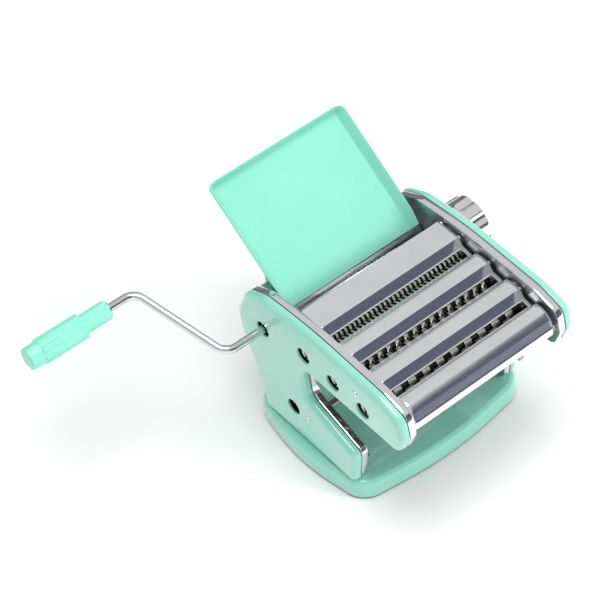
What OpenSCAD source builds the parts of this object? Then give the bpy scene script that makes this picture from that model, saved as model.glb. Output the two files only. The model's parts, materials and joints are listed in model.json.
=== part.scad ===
// Hand-cranked pasta machine: two smooth sheeting rollers, three pairs of cutting rollers,
// a dough tray, a pull-out crank and a heavy base.
// X runs along the rollers, with the crank at -X. The arms reach forward, to -Y. The origin is the
// centre of the base's underside.

/* [Frame] */
// Distance between the joint planes of the two side covers
frame_w = 180; // [150:1:220]
// Height of the top of the arms above the table
arm_top = 182; // [150:1:220]
// Depth of the arms from their top to their underside
arm_depth = 55; // [50:1:66]
// Reach of the nose ahead of the last cutting roller
nose_lead = 35.4; // [33:0.1:50]
// Reach of the back of the spine behind the centre of the base
spine_reach = 88; // [84:1:106]
// Width of the chrome band round each side
band_w = 7.5; // [6:0.5:12]
// Wall of the chrome band
band_wall = 1.5; // [1:0.1:2.5]
// Thickness of the steel side plates
plate_t = 2; // [1.5:0.1:3]
// Depth of each side cover outside its joint plane
cover_d = 9; // [8.5:0.5:14]
// Wall of the side covers
cover_wall = 2; // [1.5:0.1:3]
// Radius of the rounded edge of the side covers
cover_fillet = 6.5; // [4:0.5:7]
// Shadow gap between a cover and its chrome band
seam = 1; // [0.5:0.1:2]
// Radius of the crank holes in the left cover
hole_r = 8.2; // [7.6:0.1:9.5]

/* [Base] */
// How far the base reaches beyond each side cover
base_over = 8; // [2:0.5:20]
// Depth of the base at its middle
base_d = 172; // [160:1:210]
// How far each side of the base bows out between its corners
base_bow = 10; // [4:1:14]
// Height of the base's top face above the table
base_h = 22.6; // [18:0.1:30]
// Wall of the base shell
base_wall = 2.5; // [2:0.1:4]
// Radius of the base's top edge
base_fillet = 6; // [3:0.5:10]
// Thickness of the rubber sole
sole_t = 2; // [1.5:0.1:3]

/* [Sheeting rollers] */
// Diameter of the two smooth rollers
roller_d = 25; // [20:0.5:26]
// Space between the rollers at the finest setting
gap_min = 0.3; // [0.2:0.05:0.6]
// How far the adjusting knob opens the rollers
gap_throw = 2.4; // [1.5:0.1:3]
// Radius of the smooth rollers' journals
journal_r = 5; // [4:0.1:5.5]
// Diameter of the adjusting knob
knob_d = 52; // [38:1:56]
// Depth of the knob's grip
knob_t = 25; // [16:1:28]

/* [Cutters] */
// Distance from one pair of cutters to the next
cutter_pitch = 39.8; // [38.5:0.1:48]
// Distance between the two shafts of a pair
cutter_spacing = 17; // [14.5:0.1:18]
// How deep the rings of a pair reach into each other
ring_overlap = 1.6; // [1:0.1:2]
// Width of the fine noodles
fine_w = 2.5; // [2:0.1:3]
// Width of the medium noodles
medium_w = 5; // [4:0.1:6]
// Width of the wide noodles
wide_w = 8; // [6.6:0.1:10]
// Teeth on each cutter gear and roller gear
gear_teeth = 12; // [12:12:24]
// Radius of the cutters' journals
cutter_journal_r = 4; // [3:0.1:4.5]

/* [Crank] */
// Diameter of the crank's rod
rod_d = 8; // [6:0.1:9]
// Length of the rod from the cover to its first bend
crank_out = 41; // [30:1:60]
// Radius that the grip travels on
crank_r = 95; // [80:1:115]
// Angle of the resting crank above the horizontal
crank_angle = 18; // [-90:1:90]
// Length of the grip
grip_l = 86; // [70:1:105]
// Diameter of the fluted middle of the grip
grip_d = 25; // [22:0.5:30]

/* [Tray] */
// Gap between the tray's side walls and the side plates
tray_gap = 5.5; // [2:0.5:15]
// Length of the tray's floor, down its slope
tray_l = 127; // [100:1:155]
// Slope of the tray
tray_tilt = 36; // [30:1:42]
// Height of the tray's side walls
tray_wall_h = 9; // [5:0.5:14]
// Sheet thickness of the tray
tray_t = 1.6; // [1.2:0.1:2.4]

/* [Fits] */
// Radial clearance of a shaft that turns in its bearing
run_fit = 0.05; // [0.02:0.01:0.1]
// Clearance between parts that pass each other
pass_gap = 0.5; // [0.3:0.05:0.8]

/* [Hidden] */
$fn = 64;
arc_steps = 6;                  // facets on a rounded corner
fillet_steps = 5;               // rings on a rounded edge
half_w = frame_w / 2;
inner_x = half_w - band_w;      // inner face of the side plates
outer_plate_x = inner_x + plate_t;
cover_x = half_w + cover_d;     // outer face of the covers
lip_fit = 0.1;                  // a cover's lip inside the chrome band
lip_t = 1.2;
lip_in = 2.5;

// Heights, all hung from the top of the arms
drive_z = arm_top - 45.5;
cutter_z1 = arm_top - 32.6;
cutter_fall = 1.9;              // drop from one cutter pair to the next
deck_z = arm_top - 7.5;         // top of the feed deck behind the first slot
under_z = arm_top - arm_depth;  // underside of the arms
leg_h = under_z - base_h;       // from the base to the underside of the arms
throat_z = base_h + 0.607 * leg_h;      // rear end of the foot's sloping top
toe_z = base_h + 0.397 * leg_h;         // front end of the foot's top

// The two sheeting rollers, with the adjustable one in front
drive_y = 48.8;
roller_r = roller_d / 2;
gap_max = gap_min + gap_throw;
adjust_y = drive_y - roller_d - gap_max;
roller_half = inner_x - 2.5;
roller_gear_d = roller_d + gap_min;     // pitch diameter at the finest setting
knob_x = cover_x + 4;                   // inner face of the knob's grip

// The three pairs of cutters
cutter_y1 = -9;
cutter_half = inner_x - 3.5;
ring_r = (cutter_spacing + ring_overlap) / 2;
core_r = cutter_spacing - ring_r - pass_gap;
ring_fit = 0.06;                // side clearance between meshing rings
noodle_w = [fine_w, medium_w, wide_w];
function driven_y(i) = cutter_y1 - i * cutter_pitch;
function idler_y(i) = driven_y(i) - cutter_spacing;
function cutter_z(i) = cutter_z1 - i * cutter_fall;
function deck_at(i) = deck_z - i * cutter_fall;
nose_y = idler_y(2) - nose_lead;

// Gears run in the space inside the right cover
gear_x0 = outer_plate_x + 1.5;
gear_x1 = cover_x - cover_wall - 4;
gear_w = gear_x1 - gear_x0;
pressure_angle = 25;

// Drive sockets, reached through the holes of the left cover
socket_r = rod_d / 2 + run_fit;
socket_or = socket_r + 2.4;
mouth_x = cover_x - cover_wall - 1.5;  // how far out the sockets' mouths lie
socket_depth = 9;
key_w = 2.6;                    // cross slot that takes the crank's pin
key_depth = 4;

foot_hole = [14.3, base_h + 0.354 * leg_h];
arm_rod = [-80, arm_top - 21];
foot_rod = [-5.6, base_h + 0.345 * leg_h];
spine_rod = [spine_reach - 30, throat_z + 14];
nose_rod = [nose_y + 17, under_z + 12];
rods = [arm_rod, foot_rod, spine_rod, nose_rod];
rod_r = 4;
rod_screw_r = 2;

// Corners of a side seen from the right: [y, z, radius], going round anticlockwise
side_corners = [
  [-67, base_h, 7],
  [spine_reach - 28, base_h, 8],
  [spine_reach - 26, base_h + 27, 60],
  [spine_reach - 3, arm_top - 74, 60],
  [spine_reach, arm_top - 48, 24],
  [spine_reach - 13, arm_top - 19, 14],
  [spine_reach - 40, arm_top - 6, 40],
  [-14, arm_top, 400],
  [nose_y + 33, arm_top - 3.5, 50],
  [nose_y + 4, arm_top - 11, 14],
  [nose_y, under_z + 22, 14],
  [nose_y + 8, under_z, 9],
  [-1, under_z, 16],
  [-5, throat_z, 14],
  [-71, toe_z, 8]
];

// Corners of the base: [x, y, radius]
base_x = cover_x + base_over - base_bow;
base_y = base_d / 2 - base_bow;
bow_tip = base_bow * 4 / 3;     // a bowed side is two lines blended over their middle half
bow_rx = base_y * base_y / (2 * bow_tip);
bow_ry = base_x * base_x / (2 * bow_tip);
corner_r = 25;
base_corners = [
  [-base_x, -base_y, corner_r], [0, -base_y - bow_tip, bow_ry],
  [base_x, -base_y, corner_r], [base_x + bow_tip, 0, bow_rx],
  [base_x, base_y, corner_r], [0, base_y + bow_tip, bow_ry],
  [-base_x, base_y, corner_r], [-base_x - bow_tip, 0, bow_rx]
];

mint = [0.50, 0.88, 0.76];
chrome = [0.82, 0.82, 0.85];
steel = [0.62, 0.63, 0.66];
nylon = [0.90, 0.90, 0.86];
rubber = [0.16, 0.17, 0.17];

// ---- outlines -------------------------------------------------------------------------------

function unit(v) = v / norm(v);
function left_of(v) = [-v.y, v.x];

// Points of a closed outline whose corners [x, y, radius] are rounded, moved inwards by inset
function outline(corners, inset = 0) = [
  for (i = [0 : len(corners) - 1])
    let (
      n = len(corners),
      a = corners[(i + n - 1) % n], b = corners[i], d = corners[(i + 1) % n],
      u = unit([b.x - a.x, b.y - a.y]), v = unit([d.x - b.x, d.y - b.y]),
      turn = atan2(u.x * v.y - u.y * v.x, u * v),
      side = sign(turn),
      r = max(b.z - side * inset, 0.3),
      tip = [b.x, b.y] + inset * (left_of(u) + left_of(v)) / (1 + u * v),
      centre = tip - u * r * tan(abs(turn) / 2) + side * r * left_of(u),
      start = atan2(-side * left_of(u).y, -side * left_of(u).x),
      steps = abs(turn) < 15 ? 2 : arc_steps
    )
    for (k = [0 : steps])
      centre + r * [cos(start + turn * k / steps), sin(start + turn * k / steps)]
];

// Closed ring-shaped solid skinned through loops [inset, height] of one outline
module rim(corners, loops) {
  paths = [for (l = loops) [for (p = outline(corners, l[0])) [p.x, p.y, l[1]]]];
  n = len(paths[0]);
  m = len(paths);
  faces = [
    for (j = [0 : m - 1]) for (i = [0 : n - 1])
      let (a = j * n, b = ((j + 1) % m) * n, k = (i + 1) % n)
      each [[a + i, b + i, a + k], [a + k, b + i, b + k]]
  ];
  polyhedron(points = [for (path = paths) each path], faces = faces, convexity = 6);
}

// Open shell of an outline, its mouth at z = 0 and its face at z = depth, with a rounded edge
module rounded_shell(corners, depth, wall, fillet) {
  inner_f = max(fillet - wall, 0.4);
  arc = [for (k = [0 : fillet_steps]) 90 * k / fillet_steps];
  outer = [for (a = arc) [fillet * (1 - cos(a)), depth - fillet * (1 - sin(a))]];
  inner = [for (a = arc) [wall + inner_f * (1 - cos(a)), depth - wall - inner_f * (1 - sin(a))]];
  rim(corners, concat([[0, 0]], outer, [for (k = [fillet_steps : -1 : 0]) inner[k]], [[wall, 0]]));
  translate([0, 0, depth - wall]) linear_extrude(wall) polygon(outline(corners, fillet));
}

// Side outline stood up in the YZ plane and extruded along +X from x0
module side_extrude(x0, t) {
  translate([x0, 0, 0]) rotate([90, 0, 90]) linear_extrude(t) children();
}

// Cylinder along X from x0 to x1 with its axis at (y, z)
module rod_x(x0, x1, y, z, r) {
  translate([min(x0, x1), y, z]) rotate([0, 90, 0]) cylinder(r = r, h = abs(x1 - x0));
}

// Involute function, in degrees
function inv(a) = tan(a) * 180 / PI - a;

// Half the angle that a gear tooth fills at radius r
function tooth_half(r, pitch_r) =
  let (base_r = pitch_r * cos(pressure_angle), q = min(base_r / max(r, base_r), 1))
  85 / gear_teeth + inv(pressure_angle) - inv(acos(q));

// Spur gear of the gear train, with its axis along X; phase turns it by a part of a tooth
module gear(y, z, pitch_d, bore_r, phase) {
  pitch_r = pitch_d / 2;
  m = pitch_d / gear_teeth;
  radii = [for (k = [0 : 5]) pitch_r + m * (-1.15 + 0.4 * k)];
  flank = [for (r = radii) [r, tooth_half(r, pitch_r)]];
  tooth = concat([for (p = flank) [p[0], -p[1]]], [for (k = [5 : -1 : 0]) flank[k]]);
  translate([gear_x0, y, z]) rotate([90, 0, 90]) difference() {
    linear_extrude(gear_w) polygon([
      for (i = [0 : gear_teeth - 1]) for (p = tooth)
        let (a = (i + phase) * 360 / gear_teeth + p[1]) p[0] * [cos(a), sin(a)]
    ]);
    translate([0, 0, -1]) cylinder(r = bore_r, h = gear_w + 2);
  }
}

// Closed strip of sheet metal, t thick, below the open line through points
function ribbon(points, t) =
  let (n = len(points), lower = [
    for (i = [n - 1 : -1 : 0])
      let (
        u = unit(points[min(i + 1, n - 1)] - points[min(i, n - 2)]),
        w = unit(points[max(i, 1)] - points[max(i - 1, 0)])
      )
      points[i] + t * (left_of(u) + left_of(w)) / (1 + u * w)
  ]) concat(points, lower);

// ---- base -----------------------------------------------------------------------------------

bracket_w = 16;                 // brackets that bolt the side plates to the base
bracket_h = 14;
bracket_y = [-51, spine_reach - 40];
bolt_x = inner_x - 9;
bolt_y = [-44, spine_reach - 54];
bolt_r = 2.5;
bolt_fit = 0.25;

module at_bolts() {
  for (x = [-bolt_x, bolt_x]) for (y = bolt_y) translate([x, y, 0]) children();
}

module base_shell() {
  color(mint) difference() {
    translate([0, 0, sole_t])
      rounded_shell(base_corners, base_h - sole_t, base_wall, base_fillet);
    at_bolts() cylinder(r = bolt_r + bolt_fit, h = base_h + 1);
  }
}

module base_sole() {
  color(rubber) linear_extrude(sole_t) polygon(outline(base_corners, 0.8));
}

module base_bolts() {
  head_z = base_h - base_wall;
  nut_z = base_h + plate_t;
  color(steel) at_bolts() {
    translate([0, 0, head_z - 3]) cylinder(r = 4.5, h = 3);
    translate([0, 0, head_z - 1]) cylinder(r = bolt_r, h = nut_z + 6 - head_z + 1);
    translate([0, 0, nut_z]) cylinder(r = 4.6, h = 4, $fn = 6);
  }
}

// ---- sides ----------------------------------------------------------------------------------

shaft_r = 4;                    // fixed shaft inside the adjustable roller
sleeve_r = shaft_r + 2.5;       // the adjustable roller's sleeve, which carries its gear
bush_wall = 2;

// Slot in the YZ plane for a shaft of radius r that travels with the adjustable roller
module travel_slot(r) {
  translate([adjust_y, drive_z]) circle(r);
  translate([adjust_y + gap_throw, drive_z]) circle(r);
  translate([adjust_y, drive_z - r]) square([gap_throw, 2 * r]);
}

// The right side plate, with slot_r the radius of what passes through its travel slot
module plate_shape(slot_r) {
  difference() {
    side_extrude(inner_x, plate_t) polygon(outline(side_corners, band_wall));
    side_extrude(inner_x - 1, plate_t + 2) {
      translate([drive_y, drive_z]) circle(journal_r + bush_wall);
      travel_slot(slot_r + run_fit);
      for (i = [0 : 2]) for (y = [driven_y(i), idler_y(i)])
        translate([y, cutter_z(i)]) circle(cutter_journal_r + run_fit);
      for (p = rods) translate(p) circle(rod_screw_r + 0.2);
    }
  }
}

// Angle bracket in the right-hand corner between the base and a side plate
module foot_bracket() {
  y0 = bracket_y[0];
  l = bracket_y[1] - y0;
  difference() {
    union() {
      translate([inner_x - bracket_w, y0, base_h]) cube([bracket_w, l, plate_t]);
      translate([inner_x - plate_t, y0, base_h]) cube([plate_t, l, bracket_h]);
    }
    at_bolts() cylinder(r = bolt_r + bolt_fit, h = base_h + 10);
  }
}

module left_foot_bracket() { color(steel) mirror([1, 0, 0]) foot_bracket(); }
module right_foot_bracket() { color(steel) foot_bracket(); }

module left_side_plate() { color(steel) mirror([1, 0, 0]) plate_shape(shaft_r); }
module right_side_plate() { color(steel) plate_shape(sleeve_r); }

module trim_band() {
  color(chrome) side_extrude(inner_x, band_w - seam) difference() {
    polygon(outline(side_corners));
    polygon(outline(side_corners, band_wall));
  }
}

module left_trim_band() { mirror([1, 0, 0]) trim_band(); }
module right_trim_band() { trim_band(); }

// Right cover: a rounded shell with a lip that locates inside the chrome band
module cover_shape() {
  lip = band_wall + lip_fit;
  translate([half_w, 0, 0]) rotate([90, 0, 90])
    rounded_shell(side_corners, cover_d, cover_wall, cover_fillet);
  side_extrude(half_w - lip_in, lip_in + 0.5) difference() {
    polygon(outline(side_corners, lip));
    polygon(outline(side_corners, lip + lip_t));
  }
}

// Screw holes through a cover, in line with the two rods that it is screwed to
module cover_screw_holes() {
  for (p = [arm_rod, foot_rod])
    rod_x(cover_x - cover_wall - 1, cover_x + 1, p.x, p.y, rod_screw_r + 0.2);
}

module left_cover() {
  color(mint) mirror([1, 0, 0]) difference() {
    cover_shape();
    cover_screw_holes();
    for (p = concat([[drive_y, drive_z], foot_hole], [for (i = [0 : 2]) [driven_y(i), cutter_z(i)]]))
      rod_x(cover_x - cover_wall - 1, cover_x + 1, p.x, p.y, hole_r);
  }
}

module right_cover() {
  color(mint) difference() {
    cover_shape();
    cover_screw_holes();
    rod_x(cover_x - cover_wall - 1, cover_x + 1, knob_y, drive_z, spindle_r + 0.3);
  }
}

module cover_screws() {
  color(steel) for (s = [-1, 1]) for (p = [arm_rod, foot_rod]) {
    rod_x(s * cover_x, s * (cover_x + 1.4), p.x, p.y, 3.4);
    rod_x(s * (inner_x - 7), s * (cover_x + 0.2), p.x, p.y, rod_screw_r - 0.05);
  }
}

module frame_screws() {
  color(steel) for (s = [-1, 1]) for (p = [spine_rod, nose_rod]) {
    rod_x(s * outer_plate_x, s * (outer_plate_x + 2), p.x, p.y, 3.6);
    rod_x(s * (inner_x - 7), s * (outer_plate_x + 0.2), p.x, p.y, rod_screw_r - 0.05);
  }
}

// ---- frame between the sides ----------------------------------------------------------------

// Rod between the side plates, with a threaded end at each side
module tie_rod(p) {
  difference() {
    rod_x(-inner_x, inner_x, p.x, p.y, rod_r);
    for (s = [-1, 1]) rod_x(s * (inner_x - 8), s * (inner_x + 1), p.x, p.y, rod_screw_r);
  }
}

module arm_tie_rod() { color(steel) tie_rod(arm_rod); }
module foot_tie_rod() { color(steel) tie_rod(foot_rod); }
module spine_tie_rod() { color(steel) tie_rod(spine_rod); }

nose_bolt_x = 50;
nose_bolt_r = 2;

module nose_tie_rod() {
  color(steel) difference() {
    tie_rod(nose_rod);
    translate([nose_bolt_x, nose_rod.x, nose_rod.y - 10]) cylinder(r = nose_bolt_r + 0.1, h = 20);
  }
}

module nose_bolt() {
  color(steel) translate([nose_bolt_x, nose_rod.x, nose_rod.y]) {
    translate([0, 0, rod_r]) cylinder(r = 3.6, h = 2.4, $fn = 6);
    translate([0, 0, -rod_r - 9]) cylinder(r = nose_bolt_r, h = 2 * rod_r + 10);
    translate([0, 0, -rod_r - 6]) cylinder(r = 3.9, h = 4, $fn = 6);
  }
}

deck_t = 1.2;
slot_half = cutter_half - 3.5;
function nip_y(i) = driven_y(i) - cutter_spacing / 2;
deck_rear_y = adjust_y - 5.6;
front_z = deck_at(2) - 2.5;

// Section of the deck from its rear hem over the ridges to the front lip
deck_line = concat(
  [[deck_rear_y, deck_z - 9], [deck_rear_y, deck_z]],
  [for (i = [0 : 2]) each [
    [nip_y(i) + 4.5, deck_at(i)], [nip_y(i) - 1.5, deck_at(i) - 7.5],
    [nip_y(i) - (i < 2 ? 13 : 11), deck_at(i) - 9.3], [nip_y(i) - (i < 2 ? 19 : 16), deck_at(i + 1) + 1]
  ]],
  [[nose_y + 14, front_z], [nose_y + 9, front_z - 3], [nose_y + 6.5, front_z - 11],
   [nose_y + 4.5, front_z - 12.5], [nose_y + 4.5, front_z - 21]]
);

module top_deck() {
  color(chrome) difference() {
    side_extrude(-inner_x, 2 * inner_x) polygon(ribbon(deck_line, deck_t));
    for (i = [0 : 2])
      translate([-slot_half, nip_y(i) - (i < 2 ? 12.6 : 10.6), deck_at(i) - 14])
        cube([2 * slot_half, (i < 2 ? 10.4 : 8.4), 8]);
  }
}

rear_top = [spine_reach - 11, arm_top - 26];
rear_bend = [spine_reach - 5, arm_top - 48];
rear_t = 1.2;

module rear_cover() {
  line = [[spine_reach - 20, throat_z - 4], [spine_reach - 8, arm_top - 74], rear_bend, rear_top];
  color(chrome) side_extrude(-inner_x, 2 * inner_x) polygon(ribbon(line, rear_t));
}

module drive_bush() {
  color(nylon) difference() {
    union() {
      rod_x(inner_x, outer_plate_x + 1, drive_y, drive_z, journal_r + bush_wall);
      rod_x(inner_x - 1.5, inner_x, drive_y, drive_z, journal_r + bush_wall + 2);
    }
    rod_x(inner_x - 3, outer_plate_x + 3, drive_y, drive_z, journal_r + run_fit);
  }
}

module left_drive_bush() { mirror([1, 0, 0]) drive_bush(); }
module right_drive_bush() { drive_bush(); }

// Blade under a sheeting roller: a bar between the side plates with a thin edge near the roller
module scraper(y, side) {
  edge_z = drive_z - roller_r - pass_gap;
  side_extrude(-inner_x, 2 * inner_x) translate([y, edge_z]) polygon([
    [0, 0], [side * 1.6, 0], [side * 4, -6], [side * 4, -12], [0, -12], [0, -6]
  ]);
}

module front_roller_scraper() { color(nylon) scraper(adjust_y, -1); }
module rear_roller_scraper() { color(nylon) scraper(drive_y, 1); }

// ---- cutters --------------------------------------------------------------------------------

// Rings of one pair alternate between its two shafts: places 0, 2, 4... on the driven shaft
function places(i) = 2 * floor(cutter_half / noodle_w[i] - 1) + 1;
function place_x(i, k) = (k - (places(i) - 1) / 2) * noodle_w[i];

module rings(i, first, y) {
  w = noodle_w[i];
  for (k = [first : 2 : places(i) - 1])
    rod_x(place_x(i, k) - w / 2 + ring_fit, place_x(i, k) + w / 2 - ring_fit, y, cutter_z(i), ring_r);
}

module cutter_core(i, y) {
  rod_x(-cutter_half, cutter_half, y, cutter_z(i), core_r);
  rod_x(cutter_half - 1, gear_x1 + 0.5, y, cutter_z(i), cutter_journal_r);
}

// Socket for the crank on the left end of a shaft: a boss with a blind bore and a cross slot
module socket_boss(y, z, r) {
  rod_x(-outer_plate_x - 1.2, -inner_x + 4, y, z, r);
  rod_x(-mouth_x, -outer_plate_x - 1.2, y, z, socket_or);
}

module socket_cut(y, z) {
  rod_x(-mouth_x - 1, -mouth_x + socket_depth, y, z, socket_r);
  translate([-mouth_x - 1, y - key_w / 2, z - socket_or - 1])
    cube([key_depth + 1, key_w, 2 * socket_or + 2]);
}

module driven_cutter(i) {
  color(chrome) difference() {
    union() {
      cutter_core(i, driven_y(i));
      rings(i, 0, driven_y(i));
      socket_boss(driven_y(i), cutter_z(i), cutter_journal_r);
    }
    socket_cut(driven_y(i), cutter_z(i));
  }
}

module idler_cutter(i) {
  color(chrome) {
    cutter_core(i, idler_y(i));
    rings(i, 1, idler_y(i));
    rod_x(-outer_plate_x - 1.2, -cutter_half + 1, idler_y(i), cutter_z(i), cutter_journal_r);
  }
}

module cutter_gear(i, y, phase) {
  color(steel) gear(y, cutter_z(i), cutter_spacing, cutter_journal_r, phase);
}

module fine_driven_cutter() { driven_cutter(0); }
module fine_driven_gear() { cutter_gear(0, driven_y(0), 0); }
module fine_idler_cutter() { idler_cutter(0); }
module fine_idler_gear() { cutter_gear(0, idler_y(0), 0.5); }
module medium_driven_cutter() { driven_cutter(1); }
module medium_driven_gear() { cutter_gear(1, driven_y(1), 0); }
module medium_idler_cutter() { idler_cutter(1); }
module medium_idler_gear() { cutter_gear(1, idler_y(1), 0.5); }
module wide_driven_cutter() { driven_cutter(2); }
module wide_driven_gear() { cutter_gear(2, driven_y(2), 0); }
module wide_idler_cutter() { idler_cutter(2); }
module wide_idler_gear() { cutter_gear(2, idler_y(2), 0.5); }

comb_drop = 12;                 // from a cutter's axis down to the top of its comb
comb_t = 3;
comb_side = 0.3;                // side clearance of a comb's teeth between the rings

// Frame under a pair of cutters, with teeth that reach up between the rings
module comb(i) {
  z = cutter_z(i) - comb_drop;
  w = noodle_w[i];
  tooth_h = comb_drop - core_r - pass_gap;
  color(nylon) {
    for (y = [driven_y(i) - 2, idler_y(i) - 5]) translate([-inner_x, y, z - comb_t])
      cube([2 * inner_x, 7, comb_t]);
    for (x = [-inner_x, inner_x - 5]) translate([x, idler_y(i), z - comb_t])
      cube([5, cutter_spacing, comb_t]);
    for (k = [0 : places(i) - 1])
      translate([place_x(i, k) - w / 2 + comb_side, (k % 2 == 0 ? idler_y(i) : driven_y(i)) - 1, z - 1])
        cube([w - 2 * comb_side, 2, tooth_h + 1]);
  }
}

module fine_comb() { comb(0); }
module medium_comb() { comb(1); }
module wide_comb() { comb(2); }

// ---- sheeting rollers and their adjuster ----------------------------------------------------

module drive_roller() {
  color(chrome) difference() {
    union() {
      rod_x(-roller_half, roller_half, drive_y, drive_z, roller_r);
      rod_x(roller_half - 1, gear_x1 + 0.5, drive_y, drive_z, journal_r);
      socket_boss(drive_y, drive_z, journal_r);
      rod_x(-inner_x + 2, -roller_half + 1, drive_y, drive_z, journal_r);
    }
    socket_cut(drive_y, drive_z);
  }
}

module drive_gear() {
  color(steel) gear(drive_y, drive_z, roller_gear_d, journal_r, 0);
}

module roller_shaft() {
  color(steel) rod_x(-outer_plate_x - 1.2, gear_x1 + 0.5, adjust_y, drive_z, shaft_r);
}

module adjustable_roller() {
  color(chrome) difference() {
    union() {
      rod_x(-roller_half, roller_half, adjust_y, drive_z, roller_r);
      rod_x(roller_half - 1, gear_x1, adjust_y, drive_z, sleeve_r);
    }
    rod_x(-roller_half - 1, gear_x1 + 1, adjust_y, drive_z, shaft_r + run_fit);
  }
}

module adjustable_gear() {
  color(steel) gear(adjust_y, drive_z, roller_gear_d, sleeve_r, 0.5);
}

knob_y = adjust_y + gap_throw / 2;
knob_r = knob_d / 2;
spindle_r = 4;
cam_x = gear_x1 + 1;
cam_t = cover_x - cover_wall - 1 - cam_x;
index_t = 2;
index_r = 17;
pin_orbit = 12;
settings = 9;
knob_pull = 4;
knob_floor = 4;                 // wall of the knob round the spindle
spring_r = [4.8, 7];
head_r = 7.4;
cavity_r = 8;
head_x = knob_x + knob_floor + 12;
cap_t = 2.5;
cap_r = knob_r - 8;

module index_plate() {
  color(chrome) difference() {
    rod_x(cover_x, cover_x + index_t, knob_y, drive_z, index_r);
    rod_x(cover_x - 1, cover_x + index_t + 1, knob_y, drive_z, spindle_r + 0.3);
    for (k = [0 : settings - 1]) let (a = 180 * k / (settings - 1))
      rod_x(cover_x + 0.8, cover_x + index_t + 1,
            knob_y + pin_orbit * cos(a), drive_z + pin_orbit * sin(a), 1.3);
  }
}

module adjuster_spindle() {
  color(steel) {
    rod_x(cam_x, cam_x + cam_t, knob_y - gap_throw / 2, drive_z, 5.5);
    rod_x(cam_x + cam_t - 0.5, head_x + 2, knob_y, drive_z, spindle_r);
    rod_x(head_x, head_x + 2, knob_y, drive_z, head_r);
  }
}

module adjusting_knob() {
  lobes = 8;
  color(chrome) difference() {
    union() {
      rod_x(knob_x, knob_x + knob_t, knob_y, drive_z, knob_r);
      rod_x(cover_x + index_t + 0.3, knob_x + 1, knob_y + pin_orbit, drive_z, 1);
    }
    for (k = [0 : lobes - 1]) let (a = 360 * (k + 0.5) / lobes)
      rod_x(knob_x + 5, knob_x + knob_t + 1,
            knob_y + (knob_r + 3) * cos(a), drive_z + (knob_r + 3) * sin(a), 6);
    rod_x(knob_x - 1, knob_x + knob_t, knob_y, drive_z, spindle_r + run_fit);
    rod_x(knob_x + knob_floor, knob_x + knob_t, knob_y, drive_z, cavity_r);
    rod_x(knob_x + knob_t - cap_t, knob_x + knob_t + 1, knob_y, drive_z, cap_r);
  }
}

module knob_cap() {
  color(chrome) rod_x(knob_x + knob_t - cap_t, knob_x + knob_t, knob_y, drive_z, cap_r);
}

module knob_spring() {
  color(steel) difference() {
    rod_x(knob_x + knob_floor, head_x, knob_y, drive_z, spring_r[1]);
    rod_x(knob_x, head_x + 1, knob_y, drive_z, spring_r[0]);
  }
}

// ---- crank ----------------------------------------------------------------------------------

rod_rad = rod_d / 2;
tip_x = mouth_x - socket_depth + 0.5;   // how far out the crank's tip starts
bend_x = cover_x + crank_out;           // first bend
arm_lean = 30;                          // how far the arm leans away from the body
grip_start = bend_x + arm_lean + 30;
bend_r = 15;
crank_pin_r = key_w / 2 - 0.1;
crank_pin_x = mouth_x - 2.2;
crank_pin_half = socket_or - 0.4;

// Lays out what is drawn in the XY plane in the crank's plane: X runs outwards, Y towards the grip
module crank_plane() {
  translate([0, drive_y, drive_z]) rotate([crank_angle, 0, 0]) mirror([1, 0, 0]) children();
}

// Round bar in the XY plane from a to b
module bar(a, b, r) {
  translate(a) rotate([0, 90, atan2(b.y - a.y, b.x - a.x)]) cylinder(r = r, h = norm(b - a));
}

// Quarter-like bend at corner p between directions at angle a0 and a0 + turn
module bend(p, a0, turn) {
  side = sign(turn);
  t = bend_r * tan(abs(turn) / 2);
  centre = p - t * [cos(a0), sin(a0)] + side * bend_r * [-sin(a0), cos(a0)];
  translate(centre) rotate([0, 0, a0 - side * 90 + (side < 0 ? turn : 0)])
    rotate_extrude(angle = abs(turn)) translate([bend_r, 0]) circle(rod_rad - 0.05);
}

module crank_rod() {
  lean = atan2(crank_r, arm_lean);
  t = bend_r * tan(lean / 2) - 0.5;       // the bars run a little way into the bends
  arm_dir = [cos(lean), sin(lean)];
  p1 = [bend_x, 0];
  p2 = [bend_x + arm_lean, crank_r];
  color(chrome) crank_plane() difference() {
    union() {
      bar([tip_x, 0], p1 - [t, 0], rod_rad);
      bend(p1, 0, lean);
      bar(p1 + t * arm_dir, p2 - t * arm_dir, rod_rad);
      bend(p2, lean, -lean);
      bar(p2 + [t, 0], [grip_start + grip_l - 5, crank_r], rod_rad);
    }
    translate([crank_pin_x, 0, 0]) rotate([-crank_angle, 0, 0]) translate([0, 0, -rod_rad - 1])
      cylinder(r = crank_pin_r, h = rod_d + 2);
  }
}

module crank_pin() {
  color(steel) translate([-crank_pin_x, drive_y, drive_z - crank_pin_half])
    cylinder(r = crank_pin_r, h = 2 * crank_pin_half);
}

grip_neck_d = 19;
grip_end_d = 22;
washer_t = 1.5;

module grip() {
  neck_l = 27;
  end_l = 13;
  flutes = 8;
  flute_r = 3;
  color(mint) crank_plane() translate([grip_start, crank_r, 0]) rotate([0, 90, 0]) difference() {
    union() {
      cylinder(d = grip_neck_d, h = neck_l);
      translate([0, 0, neck_l]) cylinder(d = grip_d, h = grip_l - neck_l - end_l);
      translate([0, 0, grip_l - end_l]) cylinder(d = grip_end_d, h = end_l);
    }
    translate([0, 0, -1]) cylinder(r = rod_rad + run_fit, h = grip_l - 3);
    for (k = [0 : flutes - 1]) rotate([0, 0, 360 * k / flutes])
      translate([grip_d / 2 + flute_r - 1.2, 0, neck_l - 1])
        cylinder(r = flute_r, h = grip_l - neck_l - end_l + 2);
  }
}

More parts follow.
